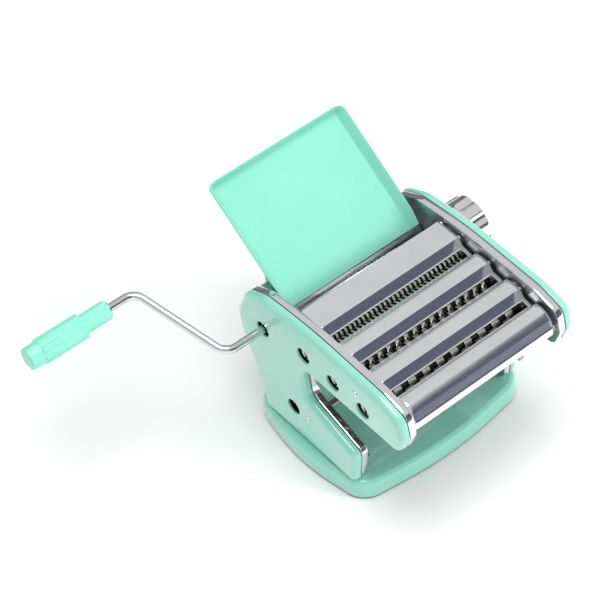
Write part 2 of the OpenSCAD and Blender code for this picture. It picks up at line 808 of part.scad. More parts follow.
module grip_washer() {
  color(steel) crank_plane() translate([grip_start - washer_t - 0.3, crank_r, 0]) rotate([0, 90, 0])
    difference() {
      cylinder(r = rod_rad + 2.5, h = washer_t);
      translate([0, 0, -1]) cylinder(r = rod_rad, h = washer_t + 2);
    }
}

// ---- tray -----------------------------------------------------------------------------------

wall_splay = 6;
tray_w = 2 * (inner_x - tray_gap - wall_splay);
tray_foot = [drive_y - 7.8, drive_z + roller_r + 1];   // lower edge of the tray's floor
wall_lean = 3;
rib_t = 3;
rib_x = tray_w / 2 - 6;
rib_y = [rear_top.x - 9, rear_top.x + 7];
rib_grip = 12;                  // how far the ribs reach down over the rear cover's top edge

// Frame of the tray's floor: X across, Y up the slope, Z off the floor
module tray_plane() {
  translate([0, tray_foot.x, tray_foot.y]) rotate([tray_tilt, 0, 0]) children();
}

module tray() {
  side_line = [[-tray_w / 2 - wall_splay, tray_wall_h], [-tray_w / 2, 0],
               [tray_w / 2, 0], [tray_w / 2 + wall_splay, tray_wall_h]];
  color(mint) difference() {
    union() {
      tray_plane() rotate([90, 0, 0]) mirror([0, 0, 1]) linear_extrude(tray_l)
        polygon([for (p = ribbon([for (q = side_line) [q.x, -q.y]], tray_t)) [p.x, -p.y]]);
      tray_plane() translate([-tray_w / 2 + 3, tray_l, 0]) rotate([90, 0, 90])
        linear_extrude(tray_w - 6)
          polygon([[-1, -tray_t], [1, -tray_t], [wall_lean + tray_t, tray_wall_h],
                   [wall_lean, tray_wall_h], [0, 0], [-1, 0]]);
      for (s = [-1, 1]) intersection() {
        translate([s * rib_x - rib_t / 2, rib_y[0], rear_top.y - rib_grip])
          cube([rib_t, rib_y[1] - rib_y[0], 60]);
        tray_plane() translate([-tray_w, -20, -80]) cube([2 * tray_w, tray_l, 80 - 0.5]);
      }
    }
    // Notch over the rear cover's edge, open enough for the tray to lift straight off
    side_extrude(-tray_w, 2 * tray_w) polygon([
      rear_top + [-rear_t - 0.5, -40], rear_top + [-rear_t - 0.5, 0.3],
      rear_top + [0.5, 0.3], rear_bend + [0.5, 0], rear_bend + [0.5, -20]
    ]);
  }
}

base_shell();
base_sole();
base_bolts();
left_foot_bracket();
right_foot_bracket();
left_side_plate();
right_side_plate();
left_trim_band();
right_trim_band();
left_cover();
right_cover();
cover_screws();
top_deck();
rear_cover();
arm_tie_rod();
foot_tie_rod();
spine_tie_rod();
nose_tie_rod();
left_drive_bush();
right_drive_bush();
front_roller_scraper();
rear_roller_scraper();
fine_comb();
medium_comb();
wide_comb();
frame_screws();
index_plate();
nose_bolt();
drive_roller();
drive_gear();
roller_shaft();
adjustable_roller();
adjustable_gear();
adjuster_spindle();
adjusting_knob();
knob_cap();
knob_spring();
fine_driven_cutter();
fine_driven_gear();
fine_idler_cutter();
fine_idler_gear();
medium_driven_cutter();
medium_driven_gear();
medium_idler_cutter();
medium_idler_gear();
wide_driven_cutter();
wide_driven_gear();
wide_idler_cutter();
wide_idler_gear();
crank_rod();
crank_pin();
grip();
grip_washer();
tray();
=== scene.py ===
"""Looks of a hand-cranked pasta machine: enamel housing on a heavy base, bright trim, ridged
deck, cutting rollers, dough tray, gap knob and crank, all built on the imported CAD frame.
Lengths in this file are millimetres, and every mesh is made in metres."""

import json
import math

import bmesh
import bpy
from mathutils import Matrix, Vector
from mathutils.geometry import tessellate_polygon


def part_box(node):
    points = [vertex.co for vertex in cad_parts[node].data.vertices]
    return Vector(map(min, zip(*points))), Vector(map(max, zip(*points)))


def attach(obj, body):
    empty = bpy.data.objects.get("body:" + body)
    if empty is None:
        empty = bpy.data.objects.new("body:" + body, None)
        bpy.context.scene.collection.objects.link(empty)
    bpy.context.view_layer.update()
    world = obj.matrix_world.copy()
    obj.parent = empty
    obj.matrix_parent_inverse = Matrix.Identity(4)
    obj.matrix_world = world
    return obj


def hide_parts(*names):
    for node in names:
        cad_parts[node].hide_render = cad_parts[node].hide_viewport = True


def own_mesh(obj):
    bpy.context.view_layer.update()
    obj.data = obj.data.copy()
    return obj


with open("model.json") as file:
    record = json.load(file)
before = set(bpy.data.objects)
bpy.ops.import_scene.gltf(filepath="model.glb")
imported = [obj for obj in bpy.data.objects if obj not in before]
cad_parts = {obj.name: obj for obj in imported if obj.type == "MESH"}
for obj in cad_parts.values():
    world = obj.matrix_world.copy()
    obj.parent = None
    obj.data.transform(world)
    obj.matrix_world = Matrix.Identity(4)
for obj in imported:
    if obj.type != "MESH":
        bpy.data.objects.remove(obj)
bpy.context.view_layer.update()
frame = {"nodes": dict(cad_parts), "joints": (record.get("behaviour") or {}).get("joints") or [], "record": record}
MM = 0.001


def span(node):
    """Lowest and highest corner of a CAD node, in millimetres."""
    low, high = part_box(node)
    return low / MM, high / MM


def axis_of(joint):
    """Where a joint's axis crosses the YZ plane, in millimetres."""
    spot = next(j for j in frame["joints"] if j["name"] == joint)["pos_m"]
    return Vector((spot[1], spot[2])) / MM


# ---- sizes taken from the frame ---------------------------------------------------------------

COVER_X = span("right_cover")[1].x
BAND_X0, BAND_X1 = span("right_trim_band")[0].x, span("right_trim_band")[1].x
COVER_D = 9.0
HALF_W = COVER_X - COVER_D
BASE_TOP = span("base_shell")[1].z
SOLE_T = span("base_sole")[1].z
DRIVE = axis_of("drive_spin")
KNOB = axis_of("knob_turn")
CUTTERS = {
    kind: (axis_of(kind + "_spin"), axis_of(kind + "_idler_spin"))
    for kind in ("fine", "medium", "wide")
}
NOODLE_W = {"fine": 2.5, "medium": 5.0, "wide": 8.0}
ARM_TOP = DRIVE.y + 45.5
UNDER_Z = ARM_TOP - 55
LEG = UNDER_Z - BASE_TOP
THROAT_Z = BASE_TOP + 0.607 * LEG
TOE_Z = BASE_TOP + 0.397 * LEG
SPINE_Y = 88.0
NOSE_Y = CUTTERS["wide"][1].x - 35.4
FOOT_HOLE = next(m for m in frame["record"]["mounts"] if m["name"] == "foot_hole")["pos_m"]
FOOT_HOLE = Vector((FOOT_HOLE[1], FOOT_HOLE[2])) / MM

SIDE = [
    (-67, BASE_TOP, 7),
    (SPINE_Y - 28, BASE_TOP, 8),
    (SPINE_Y - 26, BASE_TOP + 27, 60),
    (SPINE_Y - 3, ARM_TOP - 74, 60),
    (SPINE_Y, ARM_TOP - 48, 24),
    (SPINE_Y - 13, ARM_TOP - 19, 14),
    (SPINE_Y - 40, ARM_TOP - 6, 40),
    (-14, ARM_TOP, 400),
    (NOSE_Y + 33, ARM_TOP - 3.5, 50),
    (NOSE_Y + 4, ARM_TOP - 11, 14),
    (NOSE_Y, UNDER_Z + 22, 14),
    (NOSE_Y + 8, UNDER_Z, 9),
    (-1, UNDER_Z, 16),
    (-5, THROAT_Z, 14),
    (-71, TOE_Z, 8),
]

# ---- mesh tools --------------------------------------------------------------------------------


def shade(obj, degrees=32):
    """Smooth shading with edges sharper than the angle left crisp."""
    mesh = obj.data
    mesh.polygons.foreach_set("use_smooth", [True] * len(mesh.polygons))
    mesh.set_sharp_from_angle(angle=math.radians(degrees))
    mesh.update()
    return obj


def made(name, points, faces, finish, degrees=32, closed=True):
    """Object from points in millimetres, merged, its faces turned outwards."""
    bm = bmesh.new()
    verts = [bm.verts.new(Vector(p) * MM) for p in points]
    for f in faces:
        corners = list(dict.fromkeys(f))
        if len(corners) > 2:
            try:
                bm.faces.new([verts[i] for i in corners])
            except ValueError:
                pass
    bmesh.ops.remove_doubles(bm, verts=bm.verts, dist=2e-6)
    bmesh.ops.dissolve_degenerate(bm, edges=bm.edges, dist=1e-6)
    if closed:
        bmesh.ops.recalc_face_normals(bm, faces=bm.faces)
    mesh = bpy.data.meshes.new(name)
    bm.to_mesh(mesh)
    bm.free()
    obj = bpy.data.objects.new(name, mesh)
    bpy.context.scene.collection.objects.link(obj)
    mesh.materials.append(finish)
    return shade(obj, degrees)


def settle(obj, degrees=32):
    """Turns an object and its modifiers into a plain mesh."""
    bpy.context.view_layer.update()
    graph = bpy.context.evaluated_depsgraph_get()
    mesh = bpy.data.meshes.new_from_object(obj.evaluated_get(graph), depsgraph=graph)
    obj.modifiers.clear()
    obj.data = mesh
    return shade(obj, degrees)


def put(obj, body, slot, *nodes):
    """The piece rides on a body and stands for CAD nodes, which it hides; slot is not used."""
    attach(obj, body)
    if nodes:
        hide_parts(*nodes)
    return obj


def rounded(corners, inset=0.0, step=5.0, closed=True):
    """Outline through corners (a, b, radius), each turned into an arc, moved inwards by inset."""
    points = []
    count = len(corners)
    for i, (b0, b1, radius) in enumerate(corners):
        here = Vector((b0, b1))
        if not closed and i in (0, count - 1):
            points.append(here)
            continue
        before, after = corners[i - 1], corners[(i + 1) % count]
        u = (here - Vector(before[:2])).normalized()
        v = (Vector(after[:2]) - here).normalized()
        turn = math.atan2(u.x * v.y - u.y * v.x, u.dot(v))
        if abs(turn) < 1e-4 or radius <= 0:
            points.append(here)
            continue
        side = math.copysign(1, turn)
        r = max(radius - side * inset, 0.3)
        left_u, left_v = Vector((-u.y, u.x)), Vector((-v.y, v.x))
        tip = here + inset * (left_u + left_v) / (1 + u.dot(v))
        centre = tip - u * r * math.tan(abs(turn) / 2) + side * r * left_u
        start = math.atan2(-side * left_u.y, -side * left_u.x)
        steps = max(3, round(abs(math.degrees(turn)) / step))
        for k in range(steps + 1):
            a = start + turn * k / steps
            points.append(centre + r * Vector((math.cos(a), math.sin(a))))
    return points


class Build:
    """Collects the points and faces of one mesh."""

    def __init__(self):
        self.points, self.faces = [], []

    def loop(self, points):
        start = len(self.points)
        self.points.extend(points)
        return list(range(start, len(self.points)))

    def skin(self, a, b, closed=True):
        n = len(a)
        for i in range(n if closed else n - 1):
            j = (i + 1) % n
            self.faces.append((a[i], a[j], b[j], b[i]))

    def skin_all(self, loops, closed=True, ring=False):
        rows = [self.loop(p) for p in loops]
        for i in range(len(rows) if ring else len(rows) - 1):
            self.skin(rows[i], rows[(i + 1) % len(rows)], closed)
        return rows

    def fill(self, rim, holes=()):
        """Fills a flat rim, leaving its holes open."""
        ids = [list(rim)] + [list(h) for h in holes]
        flat = [i for part in ids for i in part]
        pts = [[Vector(self.points[i]) for i in part] for part in ids]
        spread = [max(p[k] for p in pts[0]) - min(p[k] for p in pts[0]) for k in range(3)]
        keep = [k for k in range(3) if k != spread.index(min(spread))]
        pts = [[Vector((p[keep[0]], p[keep[1]], 0)) for p in part] for part in pts]
        for tri in tessellate_polygon(pts):
            self.faces.append(tuple(flat[i] for i in tri))

    def object(self, name, finish, degrees=32):
        return made(name, self.points, self.faces, finish, degrees)


def side_loop(inset, x, corners=SIDE):
    return [(x, p.x, p.y) for p in rounded(corners, inset)]


def circle(y, z, x, r, sides=48):
    turn = 2 * math.pi / sides
    return [(x, y + r * math.cos(k * turn), z + r * math.sin(k * turn)) for k in range(sides)]


def quarter(count=8):
    return [math.radians(90 * k / count) for k in range(count + 1)]


def turned(name, axis, profile, finish, sides=64):
    """Piece turned about a line along X: profile holds (x, r), its ends closed."""
    build = Build()
    rows = [build.loop(circle(axis.x, axis.y, x, r, sides)) for x, r in profile]
    for a, b in zip(rows, rows[1:]):
        build.skin(a, b)
    for row, (x, r) in ((rows[0], profile[0]), (rows[-1], profile[-1])):
        if r > 0:
            build.faces.append(tuple(row))
    return build.object(name, finish)


def smooth_copy(node, body, slot, finish, degrees=32):
    """A merged, smoothly shaded copy of a CAD node, to stand for it."""
    bm = bmesh.new()
    bm.from_mesh(frame["nodes"][node].data)
    bmesh.ops.remove_doubles(bm, verts=bm.verts, dist=1e-6)
    mesh = bpy.data.meshes.new(node + "_smooth")
    bm.to_mesh(mesh)
    bm.free()
    mesh.materials.clear()
    mesh.materials.append(finish)
    obj = bpy.data.objects.new(node + "_smooth", mesh)
    bpy.context.scene.collection.objects.link(obj)
    return put(shade(obj, degrees), body, slot, node)


# ---- shader parts ------------------------------------------------------------------------------


def effect(name, inputs, outputs, wire):
    """Shader node group with float inputs {name: default} and outputs [names]."""
    tree = bpy.data.node_groups.new(name, "ShaderNodeTree")
    for label, value in inputs.items():
        socket = tree.interface.new_socket(label, in_out="INPUT", socket_type="NodeSocketFloat")
        socket.default_value = value
    for label, kind in outputs.items():
        tree.interface.new_socket(label, in_out="OUTPUT", socket_type=kind)
    start, end = tree.nodes.new("NodeGroupInput"), tree.nodes.new("NodeGroupOutput")
    place = tree.nodes.new("ShaderNodeTexCoord").outputs["Object"]
    wire(tree, place, start.outputs, end.inputs)
    return tree


def noise(tree, place, scale, detail=3.0, rough=0.55, stretch=None):
    if stretch:
        mapping = tree.nodes.new("ShaderNodeMapping")
        mapping.inputs["Scale"].default_value = stretch
        tree.links.new(place, mapping.inputs["Vector"])
        place = mapping.outputs["Vector"]
    node = tree.nodes.new("ShaderNodeTexNoise")
    node.inputs["Detail"].default_value = detail
    node.inputs["Roughness"].default_value = rough
    if isinstance(scale, (int, float)):
        node.inputs["Scale"].default_value = scale
    else:
        tree.links.new(scale, node.inputs["Scale"])
    tree.links.new(place, node.inputs["Vector"])
    return node.outputs["Fac"]


def ramp(tree, value, low, high, to_low=0.0, to_high=1.0):
    node = tree.nodes.new("ShaderNodeMapRange")
    node.inputs["From Min"].default_value = low
    node.inputs["From Max"].default_value = high
    for key, end in (("To Min", to_low), ("To Max", to_high)):
        if isinstance(end, (int, float)):
            node.inputs[key].default_value = end
        else:
            tree.links.new(end, node.inputs[key])
    tree.links.new(value, node.inputs["Value"])
    return node.outputs["Result"]


def combine(tree, operation, a, b):
    node = tree.nodes.new("ShaderNodeMath")
    node.operation = operation
    for socket, value in zip(node.inputs, (a, b)):
        if isinstance(value, (int, float)):
            socket.default_value = value
        else:
            tree.links.new(value, socket)
    return node.outputs[0]


def wire_handling(tree, place, given, out):
    """Patches where hands have dulled a finish, with a few small dry spots."""
    broad = ramp(tree, noise(tree, place, given["Scale"], 4.0), 0.35, 0.68)
    spots = ramp(tree, noise(tree, place, 900.0, 2.0), 0.66, 0.74)
    mixed = combine(tree, "MAXIMUM", broad, combine(tree, "MULTIPLY", spots, 0.6))
    tree.links.new(ramp(tree, mixed, 0.0, 1.0, given["Low"], given["High"]), out["Roughness"])
    tree.links.new(mixed, out["Mask"])


def wire_drawn(tree, place, given, out):
    """Fine lines left along X by rolling and polishing sheet steel."""
    fine = noise(tree, place, 1.0, 3.0, 0.6, (18.0, 2600.0, 2600.0))
    broad = noise(tree, place, 1.0, 2.0, 0.5, (6.0, 260.0, 260.0))
    lines = combine(tree, "ADD", combine(tree, "MULTIPLY", fine, 0.6), combine(tree, "MULTIPLY", broad, 0.4))
    tree.links.new(ramp(tree, lines, 0.32, 0.68, given["Low"], given["High"]), out["Roughness"])
    tree.links.new(lines, out["Height"])


def wire_skin(tree, place, given, out):
    """Faint waviness of sprayed enamel or moulded plastic."""
    tree.links.new(noise(tree, place, given["Scale"], 2.0, 0.5), out["Height"])


HANDLING = effect(
    "handling marks", {"Scale": 22.0, "Low": 0.1, "High": 0.2},
    {"Roughness": "NodeSocketFloat", "Mask": "NodeSocketFloat"}, wire_handling,
)
DRAWN = effect(
    "drawn lines", {"Low": 0.15, "High": 0.3},
    {"Roughness": "NodeSocketFloat", "Height": "NodeSocketFloat"}, wire_drawn,
)
SKIN = effect("spray waviness", {"Scale": 260.0}, {"Height": "NodeSocketFloat"}, wire_skin)


def placed(tree, group, **values):
    node = tree.nodes.new("ShaderNodeGroup")
    node.node_tree = group
    for key, value in values.items():
        node.inputs[key].default_value = value
    return node.outputs


def finish(name, fixed, surface):
    """Material whose constants sit on the shader; surface(tree, shader) adds what varies."""
    material = bpy.data.materials.new(name)
    material.use_nodes = True
    tree = material.node_tree
    shader = tree.nodes["Principled BSDF"]
    for key, value in fixed.items():
        shader.inputs[key].default_value = value
    surface(tree, shader)
    material.diffuse_color = (*fixed["Base Color"][:3], 1.0)
    return material


def bumped(tree, shader, height, strength, distance):
    bump = tree.nodes.new("ShaderNodeBump")
    bump.inputs["Strength"].default_value = strength
    bump.inputs["Distance"].default_value = distance
    tree.links.new(height, bump.inputs["Height"])
    tree.links.new(bump.outputs["Normal"], shader.inputs["Normal"])


def two_tone(tree, shader, mask, first, second):
    mix = tree.nodes.new("ShaderNodeMix")
    mix.data_type = "RGBA"
    tree.links.new(mask, mix.inputs[0])
    mix.inputs[6].default_value = first
    mix.inputs[7].default_value = second
    tree.links.new(mix.outputs[2], shader.inputs["Base Color"])


def glossy_coat(first, second, low, high, wave):
    """Enamel or moulded plastic: faint colour drift, handling marks and a wavy skin."""
    def surface(tree, shader):
        marks = placed(tree, HANDLING, Scale=18.0, Low=low, High=high)
        tree.links.new(marks["Roughness"], shader.inputs["Roughness"])
        drift = noise(tree, tree.nodes.new("ShaderNodeTexCoord").outputs["Object"], 9.0, 3.0)
        two_tone(tree, shader, ramp(tree, drift, 0.35, 0.65), first, second)
        bumped(tree, shader, placed(tree, SKIN, Scale=240.0)["Height"], wave, 0.00012)
    return surface


def drawn_sheet(low, high, depth, first, second):
    def surface(tree, shader):
        lines = placed(tree, DRAWN, Low=low, High=high)
        tree.links.new(lines["Roughness"], shader.inputs["Roughness"])
        marks = placed(tree, HANDLING, Scale=30.0, Low=0.0, High=1.0)
        two_tone(tree, shader, marks["Mask"], first, second)
        bumped(tree, shader, lines["Height"], depth, 0.00004)
    return surface


def polished(low, high, first, second):
    def surface(tree, shader):
        marks = placed(tree, HANDLING, Scale=26.0, Low=low, High=high)
        tree.links.new(marks["Roughness"], shader.inputs["Roughness"])
        two_tone(tree, shader, marks["Mask"], first, second)
    return surface


def metal(colour, rough):
    return {"Base Color": (*colour, 1.0), "Metallic": 1.0, "Roughness": rough}


MINT = (0.262, 0.655, 0.52, 1.0)
MINT_DEEP = (0.242, 0.625, 0.49, 1.0)
enamel = finish(
    "mint enamel", {"Base Color": MINT, "Roughness": 0.16, "IOR": 1.55,
                    "Coat Weight": 1.0, "Coat Roughness": 0.05},
    glossy_coat(MINT, MINT_DEEP, 0.14, 0.26, 0.10),
)
tray_plastic = finish(
    "mint tray plastic", {"Base Color": MINT, "Roughness": 0.3, "Subsurface Weight": 0.12,
                          "Subsurface Radius": (0.004, 0.006, 0.005), "Subsurface Scale": 1.0},
    glossy_coat((0.25, 0.68, 0.525, 1.0), (0.23, 0.65, 0.495, 1.0), 0.24, 0.38, 0.16),
)
grip_plastic = finish(
    "mint grip plastic", {"Base Color": MINT, "Roughness": 0.2},
    glossy_coat((0.26, 0.77, 0.60, 1.0), (0.24, 0.73, 0.56, 1.0), 0.16, 0.28, 0.12),
)
bright_trim = finish(
    "bright trim", metal((0.86, 0.86, 0.87), 0.08),
    polished(0.06, 0.16, (0.86, 0.86, 0.87, 1), (0.79, 0.79, 0.81, 1)),
)
deck_steel = finish(
    "polished deck sheet", metal((0.86, 0.87, 0.89), 0.16),
    drawn_sheet(0.10, 0.19, 0.12, (0.88, 0.885, 0.90, 1), (0.82, 0.83, 0.86, 1)),
)
plate_steel_and_rod_shade = finish(
    "side plate steel and rod painted shade", metal((0.50, 0.51, 0.53), 0.3),
    drawn_sheet(0.24, 0.38, 0.2, (0.50, 0.51, 0.53, 1), (0.42, 0.43, 0.45, 1)),
)
roller_steel = finish(
    "ground roller steel", metal((0.82, 0.82, 0.84), 0.15),
    polished(0.10, 0.22, (0.84, 0.84, 0.86, 1), (0.76, 0.76, 0.79, 1)),
)
cutter_steel = finish(
    "cutter steel", metal((0.95, 0.93, 0.86), 0.34),
    polished(0.30, 0.42, (0.97, 0.95, 0.88, 1), (0.88, 0.86, 0.78, 1)),
)
# Near-black steel for ring flanks and the shaft core between rings: painted shade in the narrow grooves.
groove_shade_steel = finish(
    "cutter groove painted shade", metal((0.10, 0.10, 0.09), 0.4),
    polished(0.34, 0.55, (0.11, 0.105, 0.095, 1), (0.05, 0.05, 0.045, 1)),
)
gear_steel = finish(
    "gear steel", metal((0.45, 0.45, 0.47), 0.35),
    polished(0.30, 0.45, (0.46, 0.46, 0.48, 1), (0.36, 0.36, 0.38, 1)),
)
knob_chrome = finish(
    "knob chrome", metal((0.86, 0.85, 0.85), 0.08),
    polished(0.05, 0.15, (0.87, 0.86, 0.86, 1), (0.80, 0.79, 0.80, 1)),
)
crank_chrome = finish(
    "crank chrome", metal((0.70, 0.70, 0.71), 0.1),
    polished(0.07, 0.18, (0.71, 0.71, 0.72, 1), (0.64, 0.64, 0.66, 1)),
)
screw_steel = finish(
    "screw steel", metal((0.72, 0.73, 0.74), 0.25),
    polished(0.18, 0.34, (0.74, 0.75, 0.76, 1), (0.62, 0.63, 0.64, 1)),
)
sole_rubber = finish(
    "sole rubber", {"Base Color": (0.03, 0.04, 0.04, 1), "Roughness": 0.7},
    lambda tree, shader: bumped(tree, shader, placed(tree, SKIN, Scale=900.0)["Height"], 0.3, 0.0001),
)
dark_nylon = finish(
    "dark nylon", {"Base Color": (0.035, 0.035, 0.04, 1), "Roughness": 0.5},
    lambda tree, shader: bumped(tree, shader, placed(tree, SKIN, Scale=500.0)["Height"], 0.2, 0.0001),
)
# Near-black on the joint lip is painted shade for the groove between cover and band; the lip itself is enamel.
gap_shadow = finish(
    "joint lip painted groove shade", {"Base Color": (0.012, 0.014, 0.014, 1), "Roughness": 0.6},
    lambda tree, shader: bumped(tree, shader, placed(tree, SKIN, Scale=500.0)["Height"], 0.2, 0.0001),
)

# ---- base --------------------------------------------------------------------------------------

base_x0, base_x1 = span("base_shell")[1].x, span("base_shell")[1].y
BOW = 10.0
bx, by = base_x0 - BOW, base_x1 - BOW
BASE = [
    (-bx, -by, 25), (0, -by - BOW * 4 / 3, bx * bx / (BOW * 8 / 3)),
    (bx, -by, 25), (bx + BOW * 4 / 3, 0, by * by / (BOW * 8 / 3)),
    (bx, by, 25), (0, by + BOW * 4 / 3, bx * bx / (BOW * 8 / 3)),
    (-bx, by, 25), (-bx - BOW * 4 / 3, 0, by * by / (BOW * 8 / 3)),
]


def base_loop(inset, z):
    return [(p.x, p.y, z) for p in rounded(BASE, inset, 2.0)]


def base_body():
    """Enamelled base: a slight draft on its sides, a rounded top edge and a rolled lower hem."""
    fillet = 6.0
    build = Build()
    hem = [(3.0, 0), (0.9, 0), (0.25, 0.4), (0.0, 1.2), (0.05, 4.0)]
    loops = [base_loop(inset, SOLE_T + up) for inset, up in hem]
    loops += [
        base_loop(0.3 + (fillet - 0.3) * (1 - math.cos(a)), BASE_TOP - fillet * (1 - math.sin(a)))
        for a in quarter(10)
    ]
    rows = build.skin_all(loops)
    build.fill(rows[0])
    build.fill(rows[-1])
    return build.object("enamel_base", enamel)


put(base_body(), "frame", "enamel", "base_shell")

sole = Build()
rows = sole.skin_all([base_loop(2.6, 0), base_loop(1.4, 0), base_loop(0.9, 0.5), base_loop(0.9, SOLE_T)])
sole.fill(rows[0])
sole.fill(rows[-1])
put(sole.object("rubber_sole", sole_rubber), "frame", "sole_rubber", "base_sole")

# ---- sides: bright bands, enamel covers, painted shade in the joint between them --------------


def side_ring(name, section, side, material):
    """Ring that follows the side's outline; section holds (inset, x)."""
    build = Build()
    build.skin_all([side_loop(inset, side * x) for inset, x in section], ring=True)
    return build.object(name, material)


def trim_section():
    """Crowned strip with rolled edges."""
    outer = []
    for k in range(13):
        t = k / 12
        crown = 0.45 * (2 * t - 1) ** 4
        outer.append((crown, BAND_X0 + (BAND_X1 - BAND_X0) * t))
    return outer + [(0.9, BAND_X1), (1.5, BAND_X1 - 0.4), (1.5, BAND_X0 + 0.4), (0.9, BAND_X0)]


def enamel_cover(name, side, holes):
    """Pressed cover: rounded rim, flat face, rolled holes, inner wall."""
    fillet, wall = 6.5, 2.0
    inner = fillet - wall
    build = Build()
    rim_edge = [(0.5, 0), (0.12, 0.15), (0, 0.6)]
    outer = [side_loop(inset, side * (HALF_W + out)) for inset, out in rim_edge]
    outer += [
        side_loop(fillet * (1 - math.cos(a)), side * (COVER_X - fillet * (1 - math.sin(a))))
        for a in quarter(12)
    ]
    inside = [
        side_loop(wall + inner * (1 - math.cos(a)), side * (COVER_X - wall - inner * (1 - math.sin(a))))
        for a in reversed(quarter(5))
    ]
    rows = build.skin_all(outer)
    deep = build.skin_all(inside + [side_loop(wall, side * HALF_W)])
    build.skin(deep[-1], rows[0])
    front, back = [], []
    for spot, r in holes:
        steps = [(r + 0.7, 0.0), (r + 0.3, 0.08), (r + 0.06, 0.3), (r, 0.7), (r, wall)]
        rim = build.skin_all([circle(spot.x, spot.y, side * (COVER_X - d), q) for q, d in steps])
        front.append(rim[0])
        back.append(rim[-1])
    build.fill(rows[-1], front)
    build.fill(deep[0], back)
    return build.object(name, enamel)


ARM_ROD = Vector((-80, ARM_TOP - 21))
FOOT_ROD = Vector((-5.6, BASE_TOP + 0.345 * LEG))
crank_holes = [(DRIVE, 8.2), (FOOT_HOLE, 8.2)] + [(CUTTERS[k][0], 8.2) for k in CUTTERS]
screw_holes = [(ARM_ROD, 2.2), (FOOT_ROD, 2.2)]
for side, label, holes in ((-1, "left", crank_holes), (1, "right", [(KNOB, 4.3)])):
    node = label + "_cover"
    put(enamel_cover(label + "_enamel_cover", side, holes + screw_holes), "frame", "enamel", node)
    # The lip is drawn near-black: painted shade in the groove between cover and band.
    lip = [(1.7, HALF_W - 2.5), (1.7, HALF_W + 0.4), (2.7, HALF_W + 0.4), (2.7, HALF_W - 2.5)]
    put(side_ring(label + "_joint_lip", lip, side, gap_shadow), "frame", "enamel", node)
    band = side_ring(label + "_bright_band", trim_section(), side, bright_trim)
    put(band, "frame", "bright_trim", label + "_trim_band")


def cross_screw(spot, side):
    """Pan head with a cross recess, standing on the cover."""
    x0, r = COVER_X, 3.4
    build = Build()
    dome = [(0.0, r), (0.35, r), (0.8, r - 0.25), (1.15, r - 0.8), (1.3, r - 1.3)]
    rows = build.skin_all([circle(spot.x, spot.y, side * (x0 + d), q, 40) for d, q in dome])
    arm, w = 1.75, 0.45
    cross = [(arm, -w), (arm, w), (w, w), (w, arm), (-w, arm), (-w, w), (-arm, w), (-arm, -w),
             (-w, -w), (-w, -arm), (w, -arm), (w, -w)]
    turn = Matrix.Rotation(math.radians(20), 2)
    cross = [turn @ Vector(p) for p in cross]
    top = build.loop([(side * (x0 + 1.3), spot.x + p.x, spot.y + p.y) for p in cross])
    foot = build.loop([(side * (x0 + 0.3), spot.x + 0.7 * p.x, spot.y + 0.7 * p.y) for p in cross])
    build.skin(top, foot)
    build.fill(rows[-1], [top])
    build.fill(foot)
    shank = build.skin_all([circle(spot.x, spot.y, side * x, 1.95, 24) for x in (BAND_X0 - 7, x0 + 0.1)])
    build.fill(shank[0])
    build.fill(shank[1])
    build.fill(rows[0])
    return build


screws = Build()
for side in (-1, 1):
    for spot in (ARM_ROD, FOOT_ROD):
        one = cross_screw(spot, side)
        start = len(screws.points)
        screws.points += one.points
        screws.faces += [tuple(i + start for i in f) for f in one.faces]
put(screws.object("cover_screw_heads", screw_steel), "frame", "hardware", "cover_screws")

# ---- ridged deck and rear cover ----------------------------------------------------------------

DECK_Z = ARM_TOP - 7.5
FALL = 1.9
FRONT_Z = DECK_Z - 2 * FALL - 2.5
NIPS = [(a.x + b.x) / 2 for a, b in CUTTERS.values()]
SLOT_HALF = 75.5


def deck_profile():
    """Section of the deck from the rear hem to the front lip, with the slots it leaves open."""
    rear = span("top_deck")[1].y
    line = [(rear - 0.6, DECK_Z - 8.5, 0), (rear - 0.6, DECK_Z, 1.3)]
    slots = []
    for i, nip in enumerate(NIPS):
        z = DECK_Z - i * FALL
        far, ridge = (13.0, 19.0) if i < 2 else (11.0, 16.0)

        def on_valley(back, z=z, far=far):
            return z - 7.5 - 1.8 * (back - 1.5) / (far - 1.5)

        line += [(nip + 4.5, z, 0.7), (nip - 1.5, z - 7.5, 0.6)]
        line += [(nip - 2.6, on_valley(2.6), 0), (nip - far + 0.6, on_valley(far - 0.6), 0)]
        line += [(nip - far, z - 9.3, 0.5), (nip - ridge, z - FALL - 0.3, 5),
                 (nip - ridge - 6, z - FALL + 0.65, 14)]
        slots.append((nip - far + 0.6, nip - 2.6))
    line += [
        (NOSE_Y + 16, FRONT_Z + 0.2, 6), (NOSE_Y + 9.5, FRONT_Z - 5, 9),
        (NOSE_Y + 5.9, FRONT_Z - 11.6, 1.4),
        (NOSE_Y + 4.6, FRONT_Z - 12.9, 0.8), (NOSE_Y + 4.6, FRONT_Z - 20.8, 0),
    ]
    return rounded(line, 0, 6.0, closed=False), slots


